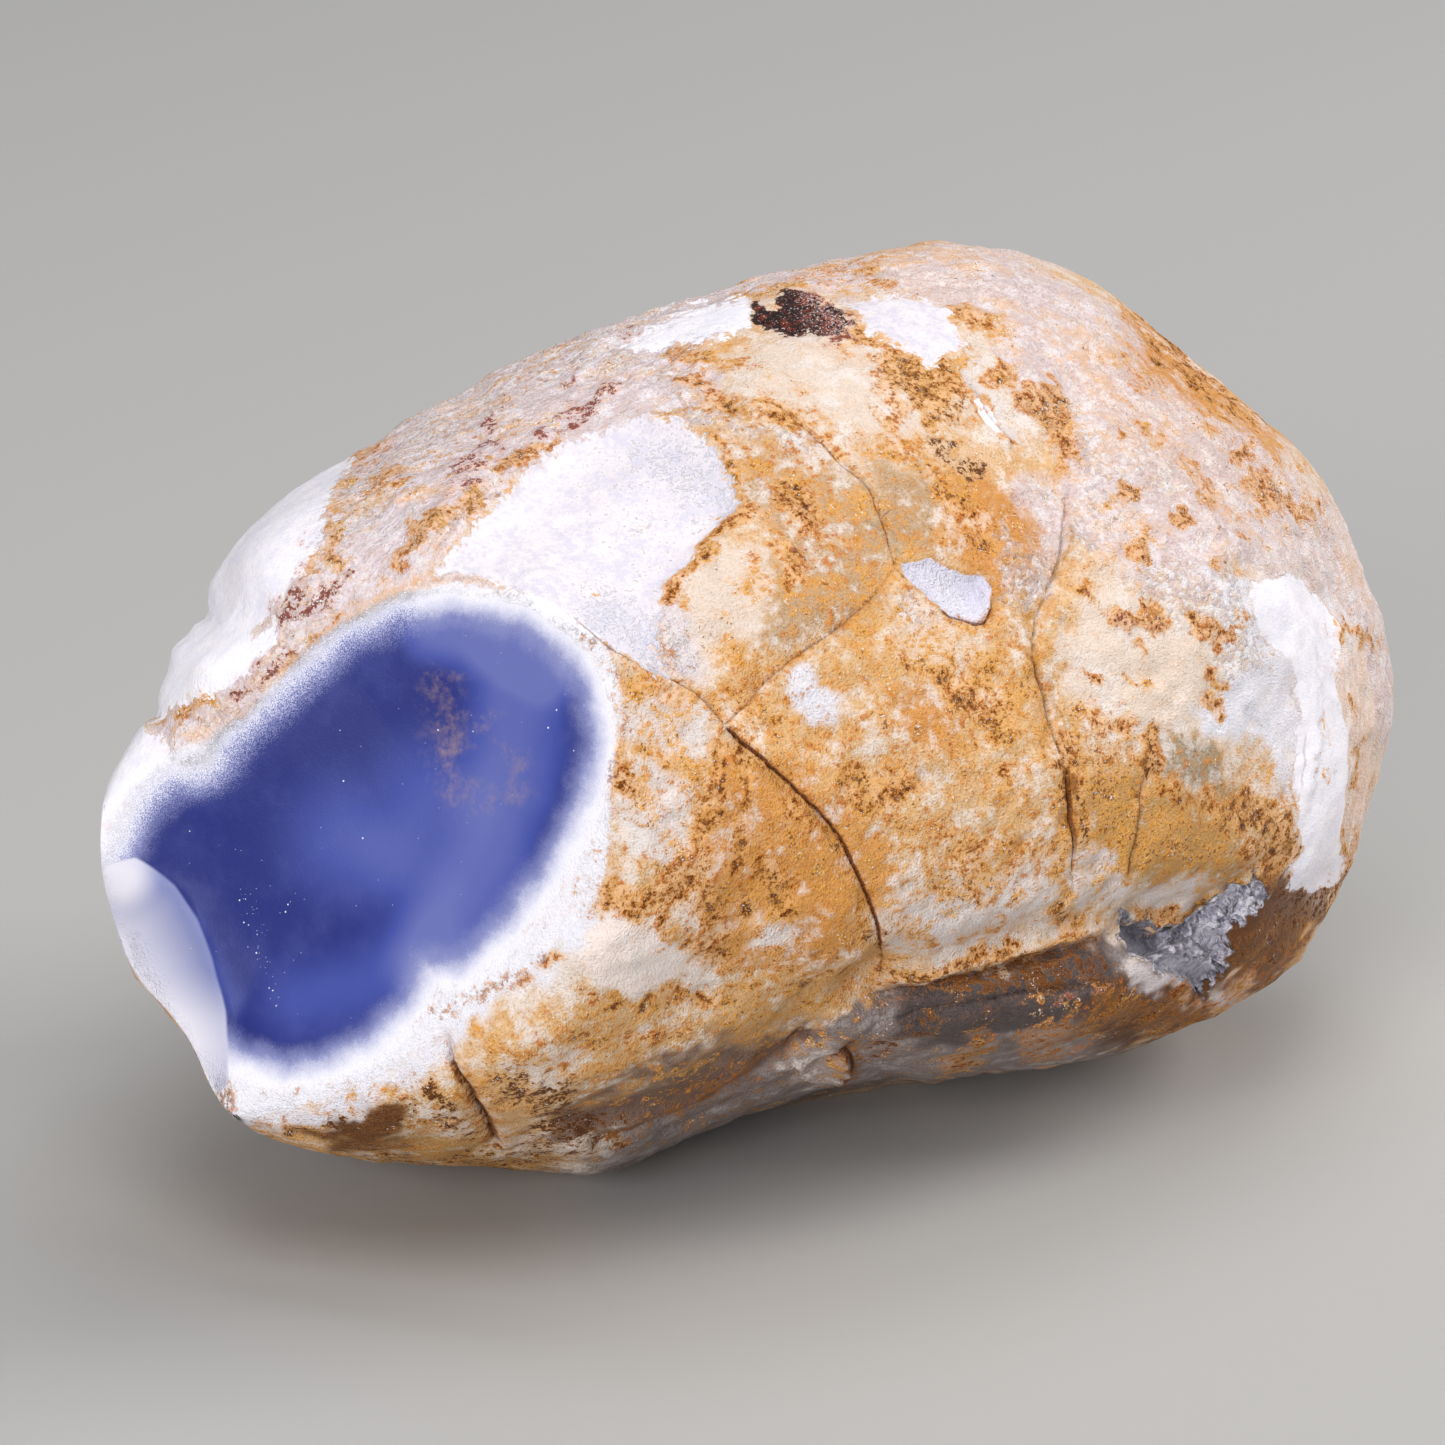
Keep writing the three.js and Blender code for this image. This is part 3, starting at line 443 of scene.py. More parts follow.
# Soft ground colours, painted in this order: colour, width of the soft edge and closed rim, or an open
# path and its half width.
ground = [
    ("sand", 3, [(-4.6, 9), (18.2, 15.1), (21, 4.6), (19.9, -12.1), (8.8, -14.6), (-6.8, -9.9)]),
    ("lilac", 0.8, [(-31.8, -0.4), (-28.8, 1.8), (-26.2, 4.6), (-23.5, 7.9), (-22.9, 12.4), (-20.7, 14.9),
        (-16.8, 17.6), (-11.2, 21), (-4.6, 23.8), (2.1, 25.1), (7.6, 26.2), (8.2, 24.3), (2.1, 23.5),
        (-1.2, 21), (-0.1, 17.9), (-4.6, 17.2), (-9, 15.7), (-12.4, 13.5), (-15.1, 10.4), (-16.8, 7.6),
        (-19, 6.6), (-21.8, 5.4), (-24.6, 1.8), (-27.1, -1.2), (-29.6, -2.4)]),
    ("quartz", 1.2, [(8.2, 25.6), (11.5, 26.8), (16, 26.2), (18.8, 24.9), (23.2, 21.8), (27.6, 17.9),
        (31.5, 14.6), (34.3, 10.7), (37.6, 4.6), (37.6, -1), (34.9, -1), (34.3, 4.6), (31.5, 8.2),
        (28.8, 9), (26, 6.8), (22.6, 8.5), (19.3, 11.2), (18.8, 15.1), (16, 19), (14.3, 22.4), (9.9, 24)]),
    ("peach", 2.5, [(21.5, 21.8), (25.4, 19), (28.2, 15.7), (29.3, 11.2), (25.4, 11.2), (21.5, 15.7),
        (19.3, 19.6)]),
    ("peach", 0.8, [(7.1, 25.6), (9.9, 26), (13.8, 25.2), (15.7, 23.5), (13.2, 23), (9.9, 23.9)]),
    ("orange", 1.2, [(22, 22.5), (24.1, 21.4), (28.5, 18), (31.2, 15.4), (30.4, 15), (27.1, 17.1),
        (23.8, 19.3)]),
    ("cream", 1, [(-1.2, 21), (3.8, 21.2), (9.9, 20.4), (11.8, 16.2), (8.2, 16.2), (4.3, 17.9),
        (0.4, 18.5)]),
    ("cream", 0.8, [(-2.8, 8.5), (-1.2, 10.1), (2.4, 9.9), (3.1, 6.8), (2.1, 4), (-1, 1.8), (-2.7, 4)]),
    ("fawn", 1.8, [(0.7, 15.7), (5.4, 15.1), (9.3, 10.7), (8.8, 7.4), (7.1, 5.4), (3.8, 4), (2.4, 4.6),
        (3.2, 6.8), (2.6, 10.1)]),
    ("greyWhite", 1.2, [(-5.7, 1.8), (-1.2, 1.2), (-0.4, -1), (-1.8, -2.1), (-5.1, -1)]),
    ("cream", 1.5, [(8.8, 6.8), (12.1, 6.8), (14.6, 4.6), (13.2, 3.2), (9.9, 4)]),
    ("fawn", 1.2, [(8.8, 14), (11.2, 14), (12.1, 10.1), (11, 9), (9, 10.1)]),
    ("quartz", 1, [(14.6, 12.6), (18.2, 13.5), (19, 10.1), (18.2, 9), (15.4, 9.6)]),
    ("chalk", 0.5, [(15.9, 9.2), (18.4, 9), (17.9, 7.1), (16.4, 7.6)]),
    ("greyWhite", 0.8, [(-5.6, -2.6), (-4, -2.3), (-1.8, -3.8), (-1.1, -7.1), (-3.5, -7.9), (-5.6, -7.1),
        (-6.1, -4.9)]),
    ("sand", 1.5, [(-9, -14.9), (-1.2, -14.9), (7.1, -13.2), (8.8, -15.4), (2.1, -18.2), (-6.8, -22.6),
        (-12.4, -22.6), (-14, -18.8)]),
    ("tan", 1.5, [(-0.7, -1), (3.8, -3.8), (7.1, -8.2), (8.2, -13.2), (0.4, -14.3), (-1.2, -9.9)]),
    ("greyWhite", 1.2, [(1.2, -10.1), (4.3, -11.5), (3.8, -13.2), (1.5, -12.6)]),
    ("cream", 1, [(19.6, 6.8), (21.5, 7.6), (26, 6.8), (29, 6.2), (30, 1.2), (29.3, -1.2), (24.9, -0.9),
        (20.1, -0.3), (18.9, 4)]),
    ("chalk", 0.9, [(26, 9), (29.4, 7.8), (31.1, 8.4), (33.1, 7.3), (34.9, 5.8), (34.8, 2.5), (35.2, 0.4),
        (35.4, -4.3), (34.6, -7.6), (33.1, -9.2), (31.5, -9.3), (32.2, -7.1), (32.1, -5.1), (31, -3.1),
        (29.3, -1), (26.5, -0.7), (25.7, 0.4), (27.9, 1.8), (29, 3.5)]),
    ("olive", 1.2, [(23.8, -0.7), (26.5, -1), (28.2, -2.4), (29.6, -4.8), (31.9, -7.1), (31.5, -9.3),
        (27.1, -8.8), (22.6, -8.8), (19.9, -7.1), (20.1, -3.8), (22.6, -2.1)]),
    ("greenGrey", 1, [(24, -0.7), (27.1, -1.5), (28.6, -4.3), (26.5, -4.6), (24.3, -3.2)]),
    ("greyWhite", 0.5, [(19.4, -7.1), (21.5, -6.9), (22, -9.3), (19.9, -10.1)]),
    ("greyWhite", 0.9, [(23.2, -8.8), (27.1, -8.2), (26.5, -10.1), (23.5, -10.1)]),
    ("greyWhite", 1.8, [(8.8, -9.9), (13.2, -8.8), (18.8, -7.6), (18.8, -11), (13.2, -12.6), (9.3, -13.2)]),
    ("sand", 0.8, [(-26.2, -22.1), (-21.8, -21), (-17.9, -19.6), (-15.4, -17.6), (-14, -19.9),
        (-12.1, -24.6), (-17.9, -24.6), (-23.5, -23.8)]),
    ("olive", 0.8, [(-23.5, -23.2), (-16.8, -22.5), (-11.2, -23.8), (-6.8, -24.6), (-11.2, -25.1),
        (-19, -24.6)]),
    ("sand", 1.5, [(-14, -17.1), (-11.2, -15.4), (-7.4, -14.6), (-5.7, -16.2), (-9, -17.1),
        (-12.4, -17.9)]),
    ("umber", 1, [(-24, -23.1), (-22.1, -21.9), (-19.9, -21.4), (-17.5, -21.8), (-17.6, -23.2),
        (-21.2, -23.9)]),
    ("sand", 1.5, [(-1.2, 3.5), (2.1, 4.6), (6.5, 1.2), (7.6, -3.2), (4.3, -3.2), (1, -0.4)]),
    ("chalk", 0.5, [(3.9, 2.5), (4.6, 2.9), (5.8, 2.7), (6.8, 1.8), (7, 0.9), (6.1, 0.2), (5, 0),
        (4.2, 0.6), (3.8, 1.5)]),
    ("tan", 1.5, [(12.1, 14), (15.4, 13.5), (18.2, 9), (16, 6.8), (12.1, 9)]),
    ("tan", 1.5, [(9, 1.8), (12.6, 1.8), (13.5, -1.5), (9.9, -2.2)]),
    ("tan", 1.5, [(0.1, -3.2), (3.8, -2.1), (7.1, -4.3), (9.9, -8.2), (8.8, -11), (5.4, -8.2),
        (2.1, -7.1)]),
    ("mist", 1.2, [(-4.6, 7.4), (-2.9, 8.2), (-1.8, 5.7), (-1.2, 2.4), (-3.5, 1.8), (-4.6, 3.5)]),
    # painted shade along the underside, over its own grey
    ("shade", 0.8, [(-7.6, -24.8), (-4.6, -22.4), (-0.1, -19.9), (4.3, -17.1), (8.8, -14.9), (15.4, -13.2),
        (22.1, -11.5), (25.4, -14.6), (22.1, -18.8), (9.9, -20.7), (-0.1, -23.8), (-6.8, -25.7),
        (-10.1, -25.1)]),
    # painted shade under the low ledge, over the underside's grey
    ("smoke", 1.2, [(8.8, -14.9), (13.2, -13.9), (17.6, -12.9), (22.2, -12), (22.5, -14), (21.6, -16.1),
        (17.1, -17.5), (13.2, -17.6), (9.3, -17.6)]),
    ("umber", 0.8, [(23.2, -13.6), (24.6, -12.6), (26.5, -9.9), (29.6, -8.8), (32.1, -8.8), (34.6, -8.1),
        (34.3, -9.3), (32.6, -12.1), (30.1, -15), (26.8, -16), (24.9, -15.4)]),
    ("mist", 0.8, [(22.6, -12.9), (23.8, -13.3), (25, -14.6), (26.5, -15.4), (27.9, -14.6), (29.3, -13.9),
        (28.8, -14.9), (26.2, -16.1), (23.8, -15.4), (22.5, -14.2)]),
    ("glow", 0.8, [(34.6, 5.7), (35.5, 4.6), (36.4, 1.2), (36.2, -2.6), (35.3, -6), (34.6, -7.1),
        (34.3, -2.1), (34.2, 2.4)]),
    ("umber", 1, [(21, -14), (23.2, -14.6), (26.5, -15.4), (27.4, -16.1), (23.8, -17.9), (21, -18.2),
        (19.9, -16.5)]),
    ("earth", 1.6, [(-4.6, -19.6), (-1.2, -18.2), (2.1, -16.8), (4.3, -16.1), (5.4, -17.6), (2.1, -19.4),
        (-1.8, -21.3), (-5.7, -23.1), (-10.1, -23.3), (-9, -21.8)]),
    ("plate", 0.6, [(3.2, -19), (4.3, -17.9), (6, -17.8), (7, -18.3), (6.9, -19.9), (5.1, -20.4),
        (3.8, -20.2)]),
    ("olive", 0.3, [(19.1, 10.7), (18.9, 9), (18.1, 7.1), (17.6, 5.7), (17.5, 3.5), (18, 1.8), (18.5, 0.1),
        (19, -1.8)], 0.16),
    ("greenGrey", 0.3, [(8.1, 12.8), (8.8, 11.2), (9.3, 9.9), (9.9, 8.7)], 0.14),
    ("greyWhite", 0.3, [(13.3, 20.6), (14, 20.1), (15.4, 17.9), (16.6, 15.4), (16.1, 15), (14.9, 16.2),
        (14.2, 17.9)]),
    # pale patch on the low front, its cream raised for light that falls short there: partly painted light
    ("bright", 0.7, [(-8.2, -11.8), (-6.8, -10.9), (-3.5, -11.1), (-1.5, -12.4), (-1.7, -14), (-4.6, -14.9),
        (-7.6, -14.6)]),
    ("chalk", 0.7, [(-25.6, -22), (-21.8, -21.4), (-19.5, -20.4), (-15.7, -18), (-13.5, -15.8),
        (-9.9, -13.1), (-7.4, -11.2)], 0.8),
    ("peach", 0.8, [(-26.1, 0), (-24, 2.2), (-21.8, 4.6), (-19, 6.7), (-15.7, 7.7), (-12.1, 7.1),
        (-8.8, 5.6), (-6.5, 3.8)], 0.5),
    ("orange", 0.7, [(-34.4, -8.8), (-34.1, -11.5), (-33, -14.6), (-31.5, -16.2), (-29.3, -18.5),
        (-28.2, -20.4)], 0.3),
]
farGround = [
    ("quartz", 3, [(-30, 8), (-10, 18), (14, 24), (26, 18), (20, 10), (0, 8), (-18, 2)]),
    ("greyWhite", 2, [(22, 14), (36, 6), (34, -8), (26, -12), (20, 0)]),
    ("tan", 3, [(-24, -10), (-8, -6), (6, -10), (4, -20), (-18, -22)]),
    ("olive", 3, [(8, -8), (22, -6), (24, -16), (6, -20)]),
]

# Stains by kind: each a half width in mm, a strength and a path.
stains = {
    "rust": [
        (0.5, 0.75, [(-29.9, 0.1), (-29.4, 0.9), (-28.6, 1.4)]), (0.3, 0.6, [(-29.9, -0.6), (-29.6, -0.3)]),
        (0.4, 0.8, [(-21.1, 10.4), (-21.2, 9.4)]), (0.5, 0.7, [(-19.5, 13.2), (-18.1, 13.7)]),
        (0.4, 0.9, [(-18.2, 9), (-17, 10.8), (-15.7, 11.9), (-14.1, 13.1)]),
        (0.2, 0.8, [(-26.1, 0.6), (-24.8, 1.9), (-22.4, 4.6), (-20.6, 6.8)]),
        (0.35, 0.7, [(-20.1, 14.6), (-19.6, 15.1), (-18.4, 15.7)]),
        (0.36, 0.9, [(0.8, 12.2), (0, 11.4), (-0.8, 10.4), (-1.7, 9), (-2.8, 8.2), (-3.1, 7.4)]),
        (0.55, 0.9, [(-2.2, 18.8), (-1.2, 18.4), (0, 17.8)]),
        (0.5, 0.7, [(-1.8, 20.7), (-0.4, 20.4), (0.7, 20.1)]),
        (0.35, 0.8, [(2.1, 17.9), (3, 17.2), (3.8, 16.5)]),
        (1.2, 0.5, [(1, 15.1), (2.6, 14.8), (4.3, 14.1), (4, 12.6)]),
        (0.4, 0.7, [(5.4, 15.7), (6.8, 14.5)]), (0.5, 0.8, [(9, 18.8), (9.8, 16.8)]),
        (0.3, 0.8, [(7.1, 20.6), (8, 21.1), (8.8, 20.7)]),
        (0.3, 0.7, [(1, 23.8), (3.2, 24.3), (6, 24.7), (8.8, 24.9)]),
        (0.9, 1, [(10.1, 19.9), (11.5, 19.3), (12.6, 18.8)]), (0.7, 0.9, [(10.7, 18.5), (12.4, 17.9)]),
        (0.25, 0.9, [(13.6, 19), (14.3, 17.9), (14.6, 16.9)]),
        (0.7, 1.2, [(3.5, 12.6), (4.3, 11.9), (5.1, 11.2)]), (0.5, 0.6, [(1.2, 9), (2.1, 6.8)]),
        (0.28, 0.9, [(12.3, 13.2), (12.5, 13)]), (0.25, 0.9, [(12.9, 12.2), (13.1, 12.1)]),
        (0.25, 0.9, [(12.5, 11.1), (12.8, 11)]), (0.25, 0.9, [(13.5, 10.6), (13.8, 10.5)]),
        (0.25, 0.9, [(14, 9.8), (14.2, 9.6)]), (0.22, 0.9, [(12.1, 9.6), (12.2, 9.4)]),
        (0.35, 0.8, [(12.9, 22.5), (14.3, 22.2), (15.7, 21.9)]), (0.35, 0.8, [(15.1, 19.9), (15.7, 18.8)]),
        (0.35, 1.5, [(21.6, 5.8), (22.5, 5.4), (23.6, 5.7)]), (0.35, 1, [(23.8, 6.8), (24.3, 5.8)]),
        (0.28, 1.2, [(20.4, 7.4), (20.6, 6.7)]), (0.32, 1.1, [(26.8, 5.6), (27.5, 5.2), (27.9, 4.6)]),
        (0.22, 1.1, [(28.7, 5.6), (28.9, 5.4)]), (0.28, 1, [(27.2, 3.4), (27.4, 2.6), (28.1, 2.1)]),
        (0.42, 1.3, [(27.2, 1), (27.6, 0.8)]), (0.3, 1.1, [(20.6, 2.6), (20.9, 2.5)]),
        (0.16, 1, [(22, 2.2), (22.1, 2.1)]), (0.16, 1, [(22.8, 2.5), (22.9, 2.4)]),
        (0.18, 1, [(23.6, 2.6), (23.8, 2.4)]), (0.35, 0.9, [(23, 4.1), (23.4, 3.9)]),
        (0.5, 1, [(20.5, 0.7), (21.5, 0), (22.2, 0.6)]), (0.35, 1, [(21.9, -0.2), (22.2, -0.5)]),
        (0.6, 1.2, [(28.5, -5.7), (29.6, -5), (31, -5.5)]),
        (0.5, 1.1, [(29.6, -6.9), (31, -6.9), (31.9, -7.5)]),
        (0.4, 0.9, [(24.6, -3.8), (26, -4.6), (28.2, -5.1)]),
        (0.45, 1.2, [(23.6, -0.9), (23.9, -1.6), (23.6, -3.2), (23.4, -4.6)]),
        (0.25, 0.9, [(33.9, 5.4), (34.9, 5), (36.4, 4.5)]),
        (0.1, 1, [(33.1, 1.2), (33.3, -1), (33.1, -3.8)]), (0.14, 1, [(35.1, 1), (35.3, -1), (35, -4)]),
        (0.2, 0.9, [(35, -5.7), (34.6, -7.1), (34.2, -8.8)]),
        (0.35, 1.3, [(24.1, 21.1), (25.4, 20), (26.8, 18.9), (28.1, 18.3)]),
        (0.35, 0.8, [(22.2, 23), (23.2, 21.8)]), (0.4, 0.8, [(27.1, 17.3), (28.5, 17.1), (29.8, 16.5)]),
        (0.4, 1, [(28.6, 15.1), (28.9, 14.9)]), (0.45, 0.9, [(29.6, 13.5), (30.5, 12.2), (31.6, 11.1)]),
        (0.25, 0.9, [(32.4, 12.3), (32.7, 11.9)]), (0.3, 1.1, [(22.1, 12.8), (22.5, 12.6)]),
        (0.3, 1.3, [(25.4, 11.4), (26.1, 11)]), (0.5, 0.9, [(23, 9.9), (23.2, 9.3)]),
        (0.2, 0.9, [(22.1, 16.1), (22.3, 16)]), (0.22, 0.9, [(29.1, 10.6), (29.4, 10.4)]),
        (0.28, 0.9, [(27.4, 8.9), (27.6, 8.7)]), (0.9, 0.8, [(12.4, 3.5), (13.5, 2.4), (14.6, 1.2)]),
        (0.4, 1.2, [(13.5, 1.8), (14.9, 1)]), (0.75, 1.15, [(7.1, -2.6), (7.9, -3.8), (9.3, -4)]),
        (0.45, 0.95, [(2.9, 9.9), (3.8, 8.8), (4, 7.9)]), (0.8, 0.6, [(10.1, 15.2), (12, 14.2)]),
        (0.5, 0.7, [(9.6, 3.8), (11.2, 3.2), (12.9, 2.4)]),
        (1.2, 0.5, [(11.2, 4), (14.3, 3.8), (17.1, 2.6)]), (0.4, 1.1, [(15.4, -2.5), (15.7, -2.9)]),
        (0.3, 1.35, [(-0.6, -1.2), (-0.6, -4.3), (-0.8, -7.6), (-1, -11.5)]),
        (0.28, 1.2, [(1.1, -1.4), (1.4, -3.8), (1.2, -6.5), (0.9, -8.2)]),
        (0.7, 1.3, [(7.4, -2.9), (8.3, -3.5), (9.3, -3.6)]),
        (0.6, 1.2, [(2.5, -7.8), (3.2, -9), (3.6, -10.1)]), (0.4, 1.1, [(3.8, -4.3), (4.3, -5)]),
        (0.8, 0.9, [(13.2, 1.8), (14, 1), (15.4, -0.1)]),
        (0.5, 1.1, [(17.1, 17.9), (18.2, 17.1), (19.2, 15.4)]), (0.25, 1.3, [(17.9, 18.6), (18.6, 17.8)]),
        (0.5, 0.7, [(21.8, 20.7), (22.6, 19.5), (23.8, 18.5)]), (0.4, 0.7, [(23.8, 16.2), (24.6, 15.1)]),
        (0.4, 0.7, [(26, 14), (27.4, 12.4)]), (0.22, 1, [(-12.9, 14), (-10.7, 15.4), (-9, 16.2)]),
        (0.25, 0.5, [(-22.8, 9.9), (-22.2, 8.5)]), (0.14, 1.3, [(15.6, 15.9), (16.2, 15.4)]),
        (0.7, 0.8, [(12.6, -6.5), (14, -7.8)]), (1.2, 0.5, [(20.1, -1), (21.5, -3.8)]),
        (0.7, 0.8, [(2.6, -7.8), (3.5, -9.2)]), (0.6, 1, [(-6.1, -2.1), (-5.4, -3.2), (-4.9, -4)]),
        (0.7, 1.1, [(-6.5, -10.1), (-4.6, -10.1), (-3.2, -9.3), (-2.4, -8.2)]),
        (0.4, 0.9, [(-3.1, -10.7), (-2.9, -11.5)]), (0.7, 0.9, [(-1.2, -7.6), (-1, -9.9), (-0.7, -12.6)]),
        (0.28, 1, [(-10.7, -13.1), (-9.9, -12.9), (-8.9, -13.2)]),
        (0.28, 0.9, [(-12.9, -15.4), (-12.1, -14.6), (-11.1, -14.2)]),
        (0.28, 0.9, [(-7.6, -15.4), (-4.6, -15.3), (-1.8, -14.9)]),
        (0.35, 1, [(-1.2, -15.4), (0.1, -15.4)]), (0.28, 0.9, [(-5.1, -17.4), (-3.2, -17.8)]),
        (0.4, 0.6, [(-8.2, -17.1), (-7.4, -17.5)]), (0.28, 0.9, [(-9.3, -19.1), (-8.9, -19.4)]),
        (0.5, 0.9, [(1.2, -9.9), (1.5, -11.5)]), (0.4, 0.8, [(2.9, -12.9), (3.8, -13.3)]),
        (0.5, 0.9, [(12.6, -6.8), (13.9, -7.6)]), (0.28, 0.9, [(11.5, -9.3), (12.4, -9.6)]),
        (0.28, 1, [(13.5, -8.8), (14.6, -9.6)]), (0.6, 0.8, [(10.1, -11.2), (11.5, -12.1)]),
        (0.28, 1, [(9.3, -14), (11.9, -13.6), (14, -12.6), (15.4, -12.2)]),
        (0.4, 0.9, [(16, -12.9), (17.9, -13.1)]), (0.22, 0.8, [(4.3, -14.6), (6.5, -14.2), (8.2, -14.6)]),
        (0.35, 0.9, [(12.4, -18.9), (13.5, -18.1), (14.6, -17.4)]),
        (0.55, 0.8, [(17.1, -17.9), (18.8, -17.1)]),
        (0.4, 1.2, [(23.5, -10.7), (24.6, -11), (25.6, -10.9)]), (0.28, 0.9, [(18.2, -11.8), (19, -10.7)]),
        (0.5, 1.1, [(30, -7.4), (31, -8.3), (30.3, -9.2)]),
        (1, 0.8, [(28.5, -14.6), (31.5, -11.8), (33.8, -9.3)]),
        (0.7, 1, [(21.4, -15.5), (23.2, -16.1), (23.8, -16.6)]), (0.7, 1, [(25.1, -15.7), (26.5, -15.6)]),
        (0.5, 0.8, [(18.2, -17.1), (20.1, -16.8), (21.5, -16.4)]),
        (0.35, 0.7, [(3.5, -3.3), (5.5, -5.5), (7.1, -8.1), (8.1, -10.1), (8.6, -12.4)]),
        (0.4, 0.7, [(0.1, -0.2), (2.1, -2.1)]), (0.25, 0.5, [(2.1, 1.8), (6.1, 4.9)]),
        (0.35, 1.2, [(18.9, -1), (19.2, -3.8), (19.5, -5.4)]), (0.12, 0.8, [(-7.8, 16.1), (-7.4, 15.9)]),
        (0.2, 0.9, [(-7, 7.1), (-6.7, 7)]), (0.28, 0.6, [(-10.1, 6.7), (-8.2, 5.4), (-6.5, 3.9)]),
        (0.3, 0.7, [(-4.6, 1.8), (-1.8, 1)]),
        (1.1, 0.6, [(-16.1, 1.8), (-15.1, 0.1), (-15.7, -2.1), (-14, -4.3)]),
        (0.8, 0.5, [(-12.9, 0.1), (-11.5, -2.1), (-11.8, -4.3)]),
        (0.5, 0.8, [(-27.6, -20.4), (-26.9, -21.6), (-25.6, -23)]),
        (0.4, 0.7, [(-16.2, -16.1), (-13.5, -15.4), (-11.2, -14.6)]), (0.3, 0.6, [(-1.2, 9), (-2.4, 6.8)]),
        (0.8, 0.5, [(2.1, -2.6), (4.3, -5.4), (2.6, -6.5)]), (0.4, 0.5, [(9.9, 4.6), (12.1, 5.7)]),
        (0.6, 0.5, [(15.4, -8.8), (17.6, -7.1)]), (3.2, 0.42, [(-4.6, 0.1), (-1.8, -7.6), (1, -12.6)]),
        (3.2, 0.4, [(2.1, 1.2), (6.5, -3.8), (9.9, -8.8)]),
        (3, 0.42, [(9.9, 6.8), (13.8, 3.5), (15.4, -2.1)]),
        (0.7, 0.8, [(12.5, 12.9), (14, 11.5), (14.6, 10.1)]),
        (2.6, 0.36, [(2.1, 16.8), (6, 11.2), (7.6, 6.8)]),
        (2.6, 0.42, [(15.4, -8.8), (23.2, -5.4), (30.4, -6.5)]),
        (2.4, 0.34, [(-11.2, -18.8), (-2.4, -17.1), (4.3, -14.3)]),
        (1.8, 0.4, [(-23.5, -22.6), (-16.8, -21.5)]), (1.6, 0.3, [(8.8, 21.2), (12.1, 17.9)]),
        (1.4, 0.32, [(23.2, 21.8), (28.8, 16.8), (32.1, 11.2)]),
        (1.4, 0.28, [(-21.8, 12.4), (-16.2, 14), (-9, 20.7)]),
    ],
    "umber": [
        (0.9, 0.5, [(9.9, 18.5), (11.5, 18.4), (12.9, 17.8)]), (0.4, 0.7, [(21.2, -17.1), (22.6, -16.5)]),
        (0.4, 0.6, [(30, -7.1), (31.2, -6.9)]), (0.5, 0.75, [(7.8, -3.1), (8.5, -3.5)]),
        (0.4, 0.7, [(2.9, -8.3), (3.2, -9.4)]), (0.1, 0.8, [(-0.8, -2.6), (-0.8, -6.5), (-0.9, -9.9)]),
        (0.08, 0.7, [(1.2, -2.1), (1.4, -4.3), (1.2, -7.1)]),
        (0.2, 1, [(18.8, -0.7), (19.1, -3.2), (19.4, -7.1)]),
        (0.22, 1.1, [(23.8, -0.5), (23.8, -2.4), (23.5, -4.3)]),
        (0.8, 0.9, [(-11.5, -20.2), (-9.9, -20.5), (-8.8, -21.1)]),
        (0.7, 1.5, [(-9.9, -22.3), (-7.6, -22.6), (-5.7, -22.9)]),
        (0.5, 0.9, [(-16.5, -20.1), (-15.4, -21.4), (-14.2, -22.5)]),
        (0.3, 1.3, [(11.9, 16), (12.5, 15.5), (13.2, 14.9)]),
        (0.3, 1.3, [(13, 14.9), (13.8, 14.5), (14.5, 14.1)]),
        (0.55, 1.1, [(-21.5, -22.4), (-19.9, -22.6), (-17.6, -22.1)]),
        (0.35, 0.8, [(-14, -23.9), (-9, -24.2), (-5.7, -23.1), (-1.8, -21), (2.1, -18.3)]),
        (0.5, 1.3, [(9.9, -14.6), (12.1, -14.2), (14.3, -13.8), (16, -13.3), (17.6, -13.3)]),
        (0.4, 0.9, [(8.2, -18.8), (10.6, -17.4), (12.1, -16.5)]),
        (0.7, 1.2, [(31.5, -10.1), (33.2, -9.6), (34.2, -9)]),
        (0.5, 1, [(27.9, -13.5), (29.3, -12.4), (31, -11.2)]),
        (0.6, 1.4, [(17.6, -14), (19.6, -13.6), (21.5, -13.6)]), (0.2, 0.9, [(13.5, 1.7), (14.6, 1.1)]),
        (0.16, 1, [(25.6, 11.2), (26, 11)]), (0.14, 1, [(27.2, 11.1), (27.5, 10.8)]),
        (0.3, 0.9, [(29, -5.3), (30, -5.8)]), (0.25, 1, [(7, -18.2), (7.4, -19.6), (6.2, -20.4)]),
        (0.1, 1, [(-9, 8.2), (-8.8, 8)]), (0.3, 0.8, [(31.9, -6.8), (32.4, -7.5), (31.5, -8.8)]),
        (0.16, 1, [(8.8, -11.5), (8.8, -12.4)]),
        (0.25, 0.8, [(-24, -22.9), (-16.8, -24.2), (-11.2, -24.6)]),
    ],
    "wine": [
        (0.3, 0.8, [(21.6, 5.7), (22.6, 5.2), (23.8, 5.6)]), (0.2, 0.7, [(23.8, 6.7), (24.3, 5.7)]),
        (0.2, 0.8, [(20.6, 7.1), (20.8, 6.7)]), (0.2, 0.7, [(22.9, 4), (23.4, 3.9)]),
        (0.6, 1, [(-24.3, 6.1), (-23.5, 6.4), (-22.6, 6.8)]),
        (0.2, 0.8, [(-23.5, 6.8), (-23, 7.6), (-22.8, 9), (-22.8, 10.1)]),
        (0.2, 0.9, [(-22.6, 6.7), (-21.5, 7.5), (-20.7, 8.9)]),
        (0.6, 0.9, [(-26.5, 1.8), (-25.6, 2.4), (-24.3, 3.4)]),
        (0.3, 1.1, [(-8.8, 17.1), (-7.6, 17.6), (-6.6, 18.6), (-5.8, 19)]),
        (0.28, 1, [(-9, 16.8), (-8.1, 17.2)]), (0.16, 0.8, [(-6.5, 21), (-5.4, 21.6), (-5, 21.4)]),
